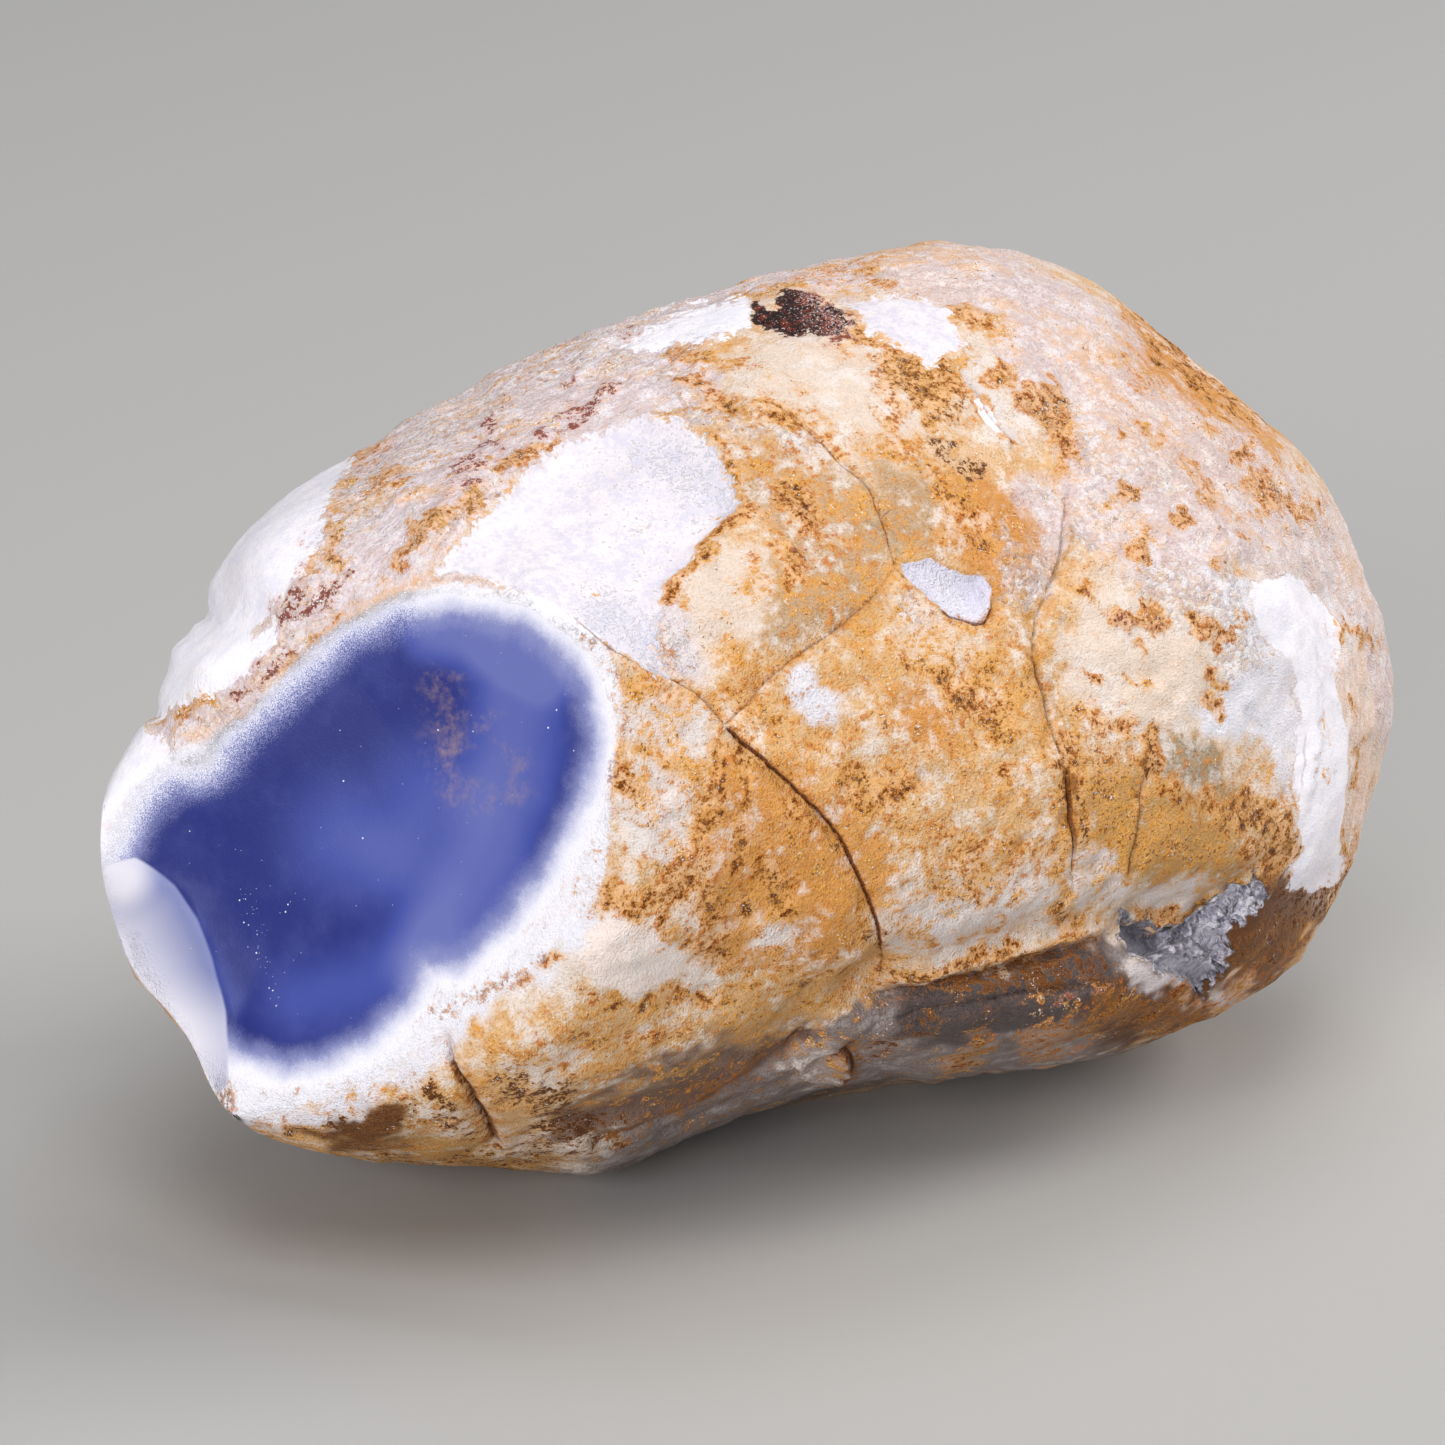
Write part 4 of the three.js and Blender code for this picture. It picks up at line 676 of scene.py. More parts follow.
        (0.14, 0.7, [(3.2, 24.4), (4.6, 24.8)]), (0.28, 1, [(-14.1, 14.4), (-13, 15.1), (-12, 15.7)]),
        (0.3, 1.1, [(-12.8, 16.9), (-12, 17.5)]), (0.25, 0.7, [(-16.2, 12.8), (-14.6, 14)]),
        (0.22, 1.4, [(-9.9, 16.6), (-7.9, 17.5), (-6.8, 18.4), (-5.7, 19)]),
        (0.22, 1.3, [(-14.6, 13.9), (-13.2, 15), (-12, 16)]), (0.3, 1.3, [(-12.9, 16.8), (-12.1, 17.5)]),
        (0.7, 1.2, [(5.3, 22.9), (6.9, 21.7)]), (0.25, 1.3, [(-24.5, 5.4), (-23.5, 6.5), (-21.8, 7.6)]),
        (0.3, 1.2, [(-26.8, 1.7), (-25.6, 2.5), (-24.1, 3.6)]),
        (0.14, 1, [(18.8, -15.4), (20.8, -14.9), (22.1, -14.8)]), (0.28, 0.6, [(24.9, 16.8), (25.2, 16.5)]),
        (0.16, 0.8, [(-9, 18.2), (-8.2, 18.5)]), (0.3, 0.8, [(3.2, 9.9), (3.9, 9.2)]),
        (0.2, 0.8, [(20.7, -12.1), (21, -12.4)]), (0.16, 0.6, [(33.8, 3.5), (34.3, 3)]),
    ],
    "speck": [
        (0.35, 0.9, [(-26.2, -9.6), (-25.8, -13.2), (-25.4, -15.4)]),
        (0.2, 0.9, [(-24.3, -11.2), (-23.5, -10.1)]), (0.9, 0.7, [(0.7, 0.6), (2.9, -1.2)]),
        (1.6, 0.6, [(-6.8, -17.1), (-1.2, -16), (4.3, -13.2), (8.2, -13.2)]),
        (1.6, 0.7, [(9.9, -9.9), (12.6, -8.8), (18.2, -7.6)]), (1.6, 1, [(19.6, -0.4), (22.1, -4.3)]),
        (1.6, 1, [(24.3, -6), (31.5, -7.1)]), (1, 0.9, [(12.1, 12.9), (14, 9)]),
        (0.8, 0.9, [(3.2, 10.1), (4.3, 9)]), (0.9, 1, [(-20.7, -22.4), (-17.4, -22.4)]),
        (1.2, 0.9, [(-11.2, -20.4), (-7.9, -21.5)]), (1.4, 0.8, [(11.5, 3.5), (15.4, 1.2)]),
        (1, 0.6, [(11.5, 23.5), (13.2, 24.6)]), (0.6, 0.8, [(-1.2, 4), (-0.1, 4.6)]),
        (1.2, 0.7, [(15.4, -12.1), (21, -11.5)]), (2.4, 0.4, [(7.6, -2.1), (13.2, -4.3)]),
        (1, 0.9, [(9.9, 19.6), (12.6, 17.9)]), (1.6, 0.5, [(-5.7, 1.2), (-1.2, -9.9)]),
    ],
    "frost": [
        (1.1, 1, [(-34.6, -8.8), (-34, -6.2), (-32.4, -4.3), (-30.4, -3.4), (-27.6, -2.5), (-26.8, -1.2),
            (-23.5, 2.1), (-20.7, 4.6), (-18.5, 5.7)]),
    ],
    "layered": [
        (1.8, 1, [(32.6, 9), (34.3, 1.2), (34, -7.6)]), (1.2, 0.6, [(30.4, 13.5), (34.9, 5.7)]),
    ],
    "pitted": [
        (2, 0.9, [(-4, 14.9), (-1.8, 14), (-0.4, 12.9)]), (2, 0.5, [(-6.8, 12.4), (-4, 10.1)]),
        (1.4, 1.1, [(-6.8, 6.2), (-4.6, 5.4), (-3.4, 4)]), (2, 0.4, [(25.4, -12.1), (28.8, -9.9)]),
    ],
    "grainy": [
        (0.8, 1, [(-4, 16.7), (-1.2, 17.2), (1.2, 16.8)]),
        (1.6, 0.7, [(-29, 1.2), (-25.7, 2.9), (-22.9, 7.4), (-21.2, 11.2), (-16.8, 15.7), (-11.2, 19),
            (-4.6, 21.8)]),
        (0.8, 0.9, [(2.1, 16.2), (4.3, 15.4)]), (1.5, 0.6, [(19.9, 11.2), (22.6, 13.5), (25.4, 12.4)]),
        (0.7, 1.4, [(16.2, 9), (17.9, 8.5), (17.1, 7.5)]), (0.3, 1.2, [(17.6, 12.4), (18.5, 11.8)]),
        (0.3, 1.2, [(15.4, 10.7), (16.2, 10.2)]), (0.35, 1.3, [(19.8, 15.7), (20.4, 14.6)]),
        (0.35, 1.3, [(19.5, 10.7), (20.3, 9.9)]), (0.35, 1.3, [(10.1, 6.2), (10.7, 5.6)]),
        (0.5, 0.8, [(-5, 20.1), (-1.8, 18.8)]), (0.4, 1, [(28.2, 9), (28.8, 6.8)]),
        (1.1, 0.9, [(24.3, 7.9), (28.2, 5.7), (28.8, 3.5)]),
        (1.6, 0.4, [(14.3, 25.1), (18.8, 22.9), (22.1, 19.6)]), (2, 0.4, [(21, 17.9), (23.8, 14)]),
        (0.8, 0.8, [(3.2, 12.9), (6, 11)]), (1, 0.5, [(27.4, 9), (32.1, 9)]),
        (0.6, 0.8, [(-16.2, 11.2), (-12.4, 14), (-9, 16.2)]),
    ],
}
farStains = {
    "rust": [
        (2, 0.8, [(-26, -12), (-18, -6), (-10, -10)]), (1.4, 0.8, [(-4, -4), (4, 0), (12, -2)]),
        (1.2, 0.9, [(18, 8), (24, 2)]), (1, 0.8, [(-14, 8), (-4, 12)]), (1.6, 0.9, [(6, -12), (16, -10)]),
        (0.8, 0.8, [(28, -6), (30, 2)]), (0.5, 0.7, [(-18, 3), (-9, 1), (-2, 3.5), (5, 1.5), (14, 2)]),
    ],
    "umber": [
        (1, 0.8, [(-12, -16), (-4, -14)]), (0.8, 0.9, [(10, -14), (18, -12)]),
    ],
    "wine": [
        (0.5, 0.9, [(-20, 8), (-12, 11), (-6, 14)]), (0.4, 0.9, [(8, 18), (16, 20)]),
    ],
    "speck": [
        (5, 0.6, [(-20, -8), (0, -6), (16, -8)]),
    ],
    "layered": [
        (2.5, 0.8, [(26, 12), (31, 0), (28, -10)]),
    ],
    "grainy": [
        (2.4, 0.7, [(-24, 6), (-6, 14), (14, 20)]),
    ],
}

# The ball that the stone is made from, and its relief in mm: the size of each kind of bump, its height
# or depth, and where in the noise it starts.
stone = {
    "ballSplits": 7,
    "ballShare": 0.6,  # the starting ball, as a share of the stone's box
    "smoothing": (7, 3, 2),  # rounds, each time before the next finer facets
    "fineFacing": 0.3,  # faces turned this much towards the camera's side get smaller facets
    "crackFacing": 0.1,
    "crackBand": 0.36,  # and smaller again this close to a crack, in mm
    "deepCrack": 0.2,
    "darkCrack": 0.5,
    "hollowMargin": 0.4,
    "wave": (2.6, 0.24, 41),
    "ripple": (0.95, 0.07, 43),
    "grain": (0.42, 0.07, 47),
    "pit": (1.5, 0.2, 53),
    "pitEdge": (0.38, 0.6),
    "crystal": (0.62, 0.42),
    "hollowDepth": 0.9,
    "hollowStart": 0.6,  # share of the depth that the whole hollow has, before its faces go deeper
    "streak": (1.1, 0.14, 81),  # ridges along the crust
    "streakStretch": 0.25,
    "streakWay": (0.77, 0.64),  # across and rise
    "layerWay": (0.12, 0.99),
    "flakeDepth": 0.35,
    "flakeCalm": 0.7,
    "spot": (0.45, 0.35, 71),
    "spotDip": 0.12,
    "wineLift": 0.1,
    "chalkCalm": 0.5,  # how much lower waves and ripples are on chalk
    "grainBase": 0.25,  # grain everywhere, and how much more where the skin is grainy or rusty
    "grainGain": 1.3,
    "rustGain": 0.35,
    "endShare": 0.25,  # share of cracks, ledges and chalk that goes on over the broken end
}

# How far rims and strokes wander from where they are drawn: small and wide noise, with size and reach,
# and the share of it that each kind of mark takes.
ragged = {
    "small": (1.3, 0.75),
    "wide": (4.5, 0.8),
    "chalk": 0.4,
    "farChalk": 1.8,
    "hollow": 0.4,
    "hollowFace": 0.2,
    "flake": 0.15,
    "ledge": 0.4,
    "stroke": 2.6,  # how far a stroke fades out, in half widths
}


def cutFiner(piece, wanted):
    mesh = piece.data
    bpy.context.tool_settings.mesh_select_mode = (False, False, True)
    mesh.vertices.foreach_set("select", np.zeros(len(mesh.vertices), bool))
    mesh.edges.foreach_set("select", np.zeros(len(mesh.edges), bool))
    mesh.polygons.foreach_set("select", wanted)
    bpy.ops.object.mode_set(mode="EDIT")
    bpy.ops.mesh.subdivide(number_cuts=1)
    bpy.ops.mesh.select_all(action="SELECT")
    bpy.ops.mesh.quads_convert_to_tris()
    bpy.ops.object.mode_set(mode="OBJECT")


def readVectors(items, name):
    values = np.empty(3 * len(items))
    items.foreach_get(name, values)
    return values.reshape(-1, 3)


# how far each face of the piece turns to the camera's side, and where it lies
def readFaces(piece):
    centres = readVectors(piece.data.polygons, "center") / mm
    across, rise, _ = layoutOf(centres)
    return facingOf(centres, readVectors(piece.data.polygons, "normal")), across, rise


# finer facets around paths, and inside a rim where there is one
def cutAround(piece, paths, band, rim=None):
    facing, across, rise = readFaces(piece)
    wanted = np.min([offPath(curved(path), across, rise)[0] for path in paths], axis=0) < band
    if rim:
        wanted |= insideBy(rim, across, rise) > -stone["hollowMargin"]
    cutFiner(piece, wanted & (facing > stone["crackFacing"]))


# a rough ball pushed out onto the solid, smoothed, with finer facets on the side that shows
def makeRoughBall():
    low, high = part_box("chalcedony_nodule")
    deselectAll()
    bpy.ops.mesh.primitive_ico_sphere_add(
        subdivisions=stone["ballSplits"],
        radius=0.5,
        location=(low + high) / 2,
        scale=(high - low) * stone["ballShare"],
    )
    piece = bpy.context.object
    piece.name = "roughStone"
    bpy.ops.object.transform_apply(location=True, rotation=True, scale=True)
    applyModifier(
        piece, "SHRINKWRAP", target=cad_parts["chalcedony_nodule"], wrap_method="PROJECT",
        use_positive_direction=True, use_negative_direction=False,
    )
    rounds = stone["smoothing"]
    applyModifier(piece, "SMOOTH", factor=0.5, iterations=rounds[0])
    cutFiner(piece, readFaces(piece)[0] > stone["fineFacing"])
    applyModifier(piece, "SMOOTH", factor=0.5, iterations=rounds[1])
    deep = [path for _, depth, _, _, _, path in cracks if depth > stone["deepCrack"]]
    cutAround(piece, deep, stone["crackBand"], hollowRim)
    applyModifier(piece, "SMOOTH", factor=0.5, iterations=rounds[2])
    dark = [path for _, _, _, darkness, _, path in cracks if darkness > stone["darkCrack"]]
    cutAround(piece, dark, stone["crackBand"] / 2)
    print("rough ball:", len(piece.data.polygons), "faces")
    return piece


def brokenDepth(across, rise):
    inward = np.maximum(insideBy(brokenEnd["rim"], across, rise), 0)
    plane = brokenEnd["towards"] + brokenEnd["slopeAcross"] * across + brokenEnd["slopeRise"] * rise
    gap, side, _, _ = offPath(brokenEnd["chipRidge"], across, rise)
    fall = brokenEnd["chipFall"] * ease(-rise, *brokenEnd["chipStarts"]) * gap
    return plane - brokenEnd["dish"] * ease(inward, 0, brokenEnd["dishReach"]) - np.where(side < 0, fall, 0)


def drift(places, start):
    smallSize, smallReach = ragged["small"]
    wideSize, wideReach = ragged["wide"]
    small = smallReach * noiseOver(places, smallSize, start, 2)
    return small + wideReach * noiseOver(places, wideSize, start + 4.6)


# A site holds where the vertices lie: front is 1 on the side that shows and 0 on the far side, seen is
# 0 where the side that shows turns away. The marks below are values on each vertex, for the shape and
# for the colours.
def layOut(places, normals):
    across, rise, towards = layoutOf(places)
    facing = facingOf(places, normals)
    return {
        "places": places,
        "across": across,
        "rise": rise,
        "towards": towards,
        "facing": facing,
        "front": ease(facing, -0.3, 0),
        "seen": ease(facing, 0.02, 0.25),
        "driftAcross": drift(places, 3.1),
        "driftRise": drift(places, 13.1),
    }


def wandered(site, share=1):
    return site["across"] + share * site["driftAcross"], site["rise"] + share * site["driftRise"]


# depth inside a rim where the skin turns at least this much to the camera's side
def depthIn(rim, site, turned, share, elsewhere):
    return np.where(site["facing"] > turned, insideBy(rim, *wandered(site, share)), elsewhere)


def markBrokenEnd(site):
    across, rise = site["across"], site["rise"]
    perMm, start = brokenEnd["ridgePale"]
    pale = perMm * offPath(brokenEnd["chipRidge"], across, rise)[0] + start
    pale += brokenEnd["footPale"] * ease(-rise, *brokenEnd["footReach"])
    fromTop = np.hypot(across - brokenEnd["chipTop"][0], rise - brokenEnd["chipTop"][1])
    pale += brokenEnd["topPale"] * (1 - ease(fromTop, *brokenEnd["topReach"]))
    # painted sheen: the blue is lighter along a band and at spots
    gap = offPath(blueSheenBand["path"], across, rise)[0]
    light = blueSheenBand["base"] + blueSheenBand["gain"] * (1 - ease(gap, *blueSheenBand["reach"]))
    for reach, gain, path in blueSheenSpots:
        light += gain * (1 - ease(offPath(path, across, rise)[0], 0, reach))
    return {
        "blue": depthIn(blueEdge, site, 0.05, 0, wellOutside),
        "broken": depthIn(brokenEnd["rim"], site, 0, 0, wellOutside),
        "chip": depthIn(chipRim, site, 0, 0, wellOutside),
        "chipPale": np.clip(pale, 0, 1),
        "blueSheen": light,
    }


def markChalk(site):
    count = len(site["across"])
    chalk, lifts, whites = np.full(count, outside), np.zeros(count), np.full(count, 0.5)
    groups = (
        (chalkPlaces, site["front"], ragged["chalk"]),
        (farChalk, 1 - site["front"], ragged["farChalk"]),
    )
    for group, share, wander in groups:
        for lift, white, sharp, rim in group:
            depth = np.where(share > 0.5, insideBy(rim, *wandered(site, wander)), outside)
            chalk = np.maximum(chalk, depth * sharp)
            whites = np.where(depth > -0.7, white, whites)
            lifts += lift * ease(depth, -0.05, 0.3)
    return {"chalk": np.clip(chalk, outside, -outside), "chalkLift": lifts, "chalkWhite": whites}


def markStains(site):
    marks = {}
    for kind in stains:
        marks[kind] = np.zeros(len(site["across"]))
        for strokes, share in ((stains[kind], site["front"]), (farStains.get(kind, []), 1 - site["front"])):
            for wide, strength, path in strokes:
                gap = offPath(path, *wandered(site))[0]
                here = strength * share * (1 - ease(gap, 0, ragged["stroke"] * wide))
                marks[kind] = np.maximum(marks[kind], here)
    return marks


def markCracks(site):
    count = len(site["across"])
    side, near, groove = np.full(count, crackShape["farSide"]), np.zeros(count), np.zeros(count)
    strays = crackShape["wander"][1] * noiseOver(site["places"], crackShape["wander"][0], 23.3)
    across, rise = site["across"] + strays, site["rise"] + strays
    groups = (
        (cracks, site["facing"] > crackShape["front"], site["seen"]),
        (farCracks, site["facing"] < crackShape["back"], 1),
    )
    for group, shown, share in groups:
        for width, depth, step, dark, tips, path in group:
            gap, onSide, along, length = offPath(curved(path), across, rise)
            tip = ease(along, crackShape["tipStart"], tips[0])
            tip *= ease(length - along, crackShape["tipStart"], tips[1])
            halo = tip * (1 - ease(gap, *crackShape["halo"])) * dark
            near = np.maximum(near, np.where(shown, halo, 0))
            nearer = shown & (gap < np.abs(side)) & (gap < crackShape["reach"])
            side = np.where(nearer, gap * onSide / (width / crackShape["unitWidth"]), side)
            profile = np.maximum(1 - gap / (crackShape["grooveShare"] * width), 0)
            depth *= crackShape["endDepth"] + (1 - crackShape["endDepth"]) * tip
            cut = -depth * profile ** crackShape["groovePower"] * (along > 0) * (along < length)
            cut += step * tip / 2 * onSide * (1 - ease(gap, *crackShape["stepReach"]))
            groove += np.where(shown, cut, 0) * share
    side = np.clip(side, -crackShape["farSide"], crackShape["farSide"])
    return {"crackSide": side, "crackNear": near, "groove": groove}


def markHollow(site):
    count = len(site["across"])
    face, low, light = np.full(count, outside / 2), np.zeros(count), np.full(count, 0.6)
    # each face's own lightness is painted shade
    for depth, paintedLightness, rim in hollowFaces:
        inward = insideBy(rim, *wandered(site, ragged["hollowFace"]))
        face = np.maximum(face, inward)
        low += depth * ease(inward, -0.15, 0.15)
        light = np.where(inward > -0.1, paintedLightness, light)
    flakeAcross = site["across"] + ragged["flake"] * site["driftAcross"]
    return {
        "hollow": depthIn(hollowRim, site, -0.2, ragged["hollow"], outside),
        "hollowFace": face,
        "hollowLow": low,
        "hollowFaceShade": light,
        "spot": depthIn(spotRim, site, -0.2, ragged["hollow"], outside),
        "flake": np.where(site["facing"] > 0, insideBy(flakeRim, flakeAcross, site["rise"]), outside),
    }


def markLedges(site):
    lift = np.zeros(len(site["across"]))
    for high, reach, wantedSide, path in ledges:
        gap, onSide, along, length = offPath(curved(path), *wandered(site, ragged["ledge"]))
        tip = ease(np.minimum(along, length - along), 0, 0.2 * length)
        lift += np.where(onSide == wantedSide, high * site["seen"] * tip * (1 - ease(gap, 0, reach)), 0)
    for place, reach, high in swells:
        away = np.hypot(site["across"] - place[0], site["rise"] - place[1])
        lift += high * (1 - ease(away, 0, reach)) * site["front"]
    return {"ledge": lift}


def markGround(site):
    count = len(site["across"])
    patchy = 0.75 * ease(noiseOver(site["places"], 5.5, 31.0, 3), -0.35, 0.45)
    base = np.outer(1 - patchy, colours["cream"]) + np.outer(patchy, colours["sand"])
    crust, clean = np.zeros(count), np.zeros(count)
    for patches, share in ((ground, site["front"]), (farGround, 1 - site["front"])):
        for colour, soft, line, *halfWidth in patches:
            if halfWidth:
                inward = halfWidth[0] - offPath(line, *wandered(site))[0]
            else:
                inward = insideBy(line, *wandered(site))
            amount = ease(inward, -soft / 2, soft / 2) * share
            base = base * (1 - amount)[:, None] + np.outer(amount, colours[colour])
            crust = np.maximum(crust, amount) if colour in crustColours else crust * (1 - amount)
            clean = np.maximum(clean, amount) if colour in cleanColours else clean * (1 - amount)
    return {"groundColour": base, "crust": crust, "clean": clean}


# ridges drawn out along one way of the layout
def streaksOver(places, way):
    size, high, start = stone["streak"]
    along = way[0] * acrossAxis + way[1] * riseAxis
    squeezed = places - np.outer((1 - stone["streakStretch"]) * (places @ along), along)
    ridges = 1 - 2 * np.abs(noiseOver(squeezed, size, start))
    return high * (ridges + 0.5 * noiseOver(squeezed, 0.4 * size, start + 2) - 0.6)


def bumpsOver(places, kind, octaves=1):
    size, high, start = stone[kind]
    return high * noiseOver(places, size, start, octaves)


# each crystal is a flat face with its own lean, one to a cell
def crystalsOver(places, wanted):
    size, high = stone["crystal"]
    crystals = np.zeros(len(places))
    for i in np.nonzero(wanted)[0]:
        here = Vector(places[i]) / size
        middle = noise.voronoi(here)[1][0]
        lean = noise.cell_vector(middle * 7.3) - Vector((0.5, 0.5, 0.5))
        crystals[i] = 2.4 * lean.dot(here - middle) + 0.8 * noise.cell(middle * 5.1)
    return high * crystals


# how far each vertex moves out along its normal, in mm
def reliefOf(places, marks):
    skin = 1 - ease(marks["broken"], -0.4, 0.5)
    chalky = ease(marks["chalk"], 0, 0.4) * skin
    grainy = np.clip(marks["grainy"], 0, 1) * (1 - 0.8 * chalky)
    crust = np.maximum(marks["crust"], 0.5 * grainy) * (1 - 0.9 * chalky)

    lift = bumpsOver(places, "wave", 2) + bumpsOver(places, "ripple", 2) * (1 + grainy)
    lift *= 1 - stone["chalkCalm"] * chalky
    pitSize, pitDepth, pitStart = stone["pit"]
    lift -= pitDepth * ease(noiseOver(places, pitSize, pitStart), *stone["pitEdge"]) * (1 - chalky)
    lift += streaksOver(places, stone["streakWay"]) * crust
    lift += 0.8 * streaksOver(places, stone["layerWay"]) * marks["layered"]
    grainShare = stone["grainBase"] + stone["grainGain"] * grainy + stone["rustGain"] * marks["rust"]
    lift += bumpsOver(places, "grain") * grainShare
    lift += stone["wineLift"] * ease(marks["wine"], 0.3, 0.8)
    broad = marks["groove"] + marks["ledge"] + marks["chalkLift"]
    lift = lift * skin + broad * (stone["endShare"] + (1 - stone["endShare"]) * skin)

    inFlake = ease(marks["flake"], -0.05, 0.25)
    lift = lift * (1 - stone["flakeCalm"] * inFlake) - stone["flakeDepth"] * inFlake
    inHollow = ease(marks["hollow"], 0, 0.2)
    offFaces = 1 - ease(marks["hollowFace"], -0.1, 0.1)
    crystals = crystalsOver(places, inHollow > 0) * offFaces
    lift += inHollow * (crystals - stone["hollowDepth"] * (stone["hollowStart"] + marks["hollowLow"]))
    knobs = np.abs(bumpsOver(places, "spot"))
    return lift + ease(marks["spot"], 0, 0.25) * (knobs - stone["spotDip"])


def shapeStone(piece):
    places = readVectors(piece.data.vertices, "co") / mm
    normals = readVectors(piece.data.vertex_normals, "vector")
    site = layOut(places, normals)
    marks = {}
    for measure in (markBrokenEnd, markChalk, markStains, markCracks, markHollow, markLedges, markGround):
        marks.update(measure(site))

    # the broken face, flat and crisp again
    onFace = ease(marks["broken"], 0, brokenEnd["settle"])
    depth = site["towards"] * (1 - onFace) + brokenDepth(site["across"], site["rise"]) * onFace
    moved = placeAt(site["across"], site["rise"], depth) + normals * reliefOf(places, marks)[:, None]
    moved[:, 2] = np.maximum(moved[:, 2], 0)
    low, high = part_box("chalcedony_nodule")
    moved = np.clip(moved, np.array(low) / mm, np.array(high) / mm)
    piece.data.vertices.foreach_set("co", (moved * mm).ravel())
    piece.data.update()

    ground = np.column_stack((marks.pop("groundColour"), np.ones(len(places))))
    layer = piece.data.attributes.new("groundColour", "FLOAT_COLOR", "POINT")
    layer.data.foreach_set("color", ground.astype(np.float32).ravel())
    for name in ("chalkLift", "groove", "hollowLow", "ledge"):
        del marks[name]
    for name, values in marks.items():
        layer = piece.data.attributes.new(name, "FLOAT", "POINT")
        layer.data.foreach_set("value", values.astype(np.float32))


skinMaterial = bpy.data.materials.new("chalcedonySkin")
skinMaterial.use_nodes = True
skinTree = skinMaterial.node_tree
skinSurface = skinTree.nodes["Principled BSDF"]
noises = {}


def addNode(kind, **settings):
    node = skinTree.nodes.new("ShaderNode" + kind)
    for name, value in settings.items():
        setattr(node, name, value)
    return node


objectPlaces = addNode("TexCoord").outputs["Object"]


def give(socket, value):
    if isinstance(value, bpy.types.NodeSocket):
        skinTree.links.new(value, socket)
    else:
        socket.default_value = value


def maths(operation, *values, clamp=False):
    node = addNode("Math", operation=operation, use_clamp=clamp)
    for socket, value in zip(node.inputs, values):
        give(socket, value)
    return node.outputs[0]


def times(a, b):
    return maths("MULTIPLY", a, b)


# a times b plus c
def timesPlus(a, b, c, clamp=False):
    return maths("MULTIPLY_ADD", a, b, c, clamp=clamp)


# a value between low and high, eased and spread over other ends
def spread(value, low, high, outLow=0, outHigh=1, kind="SMOOTHSTEP"):
    node = addNode("MapRange", interpolation_type=kind)
    names = ("Value", "From Min", "From Max", "To Min", "To Max")
    for name, what in zip(names, (value, low, high, outLow, outHigh)):
        give(node.inputs[name], what)
    return node.outputs["Result"]


def mix(share, a, b, blend="MIX"):
    node = addNode("Mix", data_type="RGBA", blend_type=blend)
    give(node.inputs["Factor"], share)
    for socket, colour in ((node.inputs[6], a), (node.inputs[7], b)):
        give(socket, colour + (1,) if isinstance(colour, tuple) else colour)
    return node.outputs[2]


# noise from 0 to 1 with its middle drawn out, so it reaches both ends
def clouds(size, detail, roughness, places=objectPlaces):
    node = addNode("TexNoise")
    give(node.inputs["Vector"], places)
    give(node.inputs["Scale"], 1 / (size * mm))
    give(node.inputs["Detail"], detail)
    give(node.inputs["Roughness"], roughness)
    return spread(node.outputs["Fac"], 0.3, 0.7, kind="LINEAR")


# the places squeezed along one way, which draws a pattern out into streaks
def squeezedPlaces(way, share):
    along = way[0] * acrossAxis + way[1] * riseAxis
    dot = addNode("VectorMath", operation="DOT_PRODUCT")
    give(dot.inputs[0], objectPlaces)
    give(dot.inputs[1], along)
    back = addNode("VectorMath", operation="SCALE")
    give(back.inputs[0], along * (share - 1))
    give(back.inputs["Scale"], dot.outputs["Value"])
    moved = addNode("VectorMath", operation="ADD")
    give(moved.inputs[0], objectPlaces)
    give(moved.inputs[1], back.outputs[0])
    return moved.outputs[0]


# a start with noises added by name, each about its middle
def level(start=0.5, **weights):
    for name, weight in weights.items():
        start = timesPlus(noises[name], weight, maths("SUBTRACT", start, weight / 2))
    return start


def cells(size):
    node = addNode("TexVoronoi")
    give(node.inputs["Vector"], objectPlaces)
    give(node.inputs["Scale"], 1 / (size * mm))
    return node.outputs


def channels(colour):
    node = addNode("SeparateColor")
    give(node.inputs[0], colour)
    return node.outputs


def mark(name):
    return addNode("Attribute", attribute_name=name).outputs["Fac"]


# Noises of the skin: size in mm, detail and roughness, and for streaks their way and how far they are
# squeezed along it.
noiseKinds = {
    "sugar": (0.06, 0, 0.5),
    "grit": (0.12, 1, 0.6),
    # where painted glints fall
    "glintNoise": (0.13, 1, 0.5),
    "flecks": (0.2, 2, 0.5),
    "fine": (0.26, 3, 0.65),
    "small": (0.6, 3, 0.62),
    "middle": (1.7, 4, 0.62),
    "wide": (5.5, 3, 0.55),
    "streaks": (0.5, 3, 0.62, stone["streakWay"], 0.22),
    "longStreaks": (1.2, 3, 0.6, (0.98, 0.2), 0.3),
    "layers": (0.55, 2, 0.6, stone["layerWay"], 0.12),
}

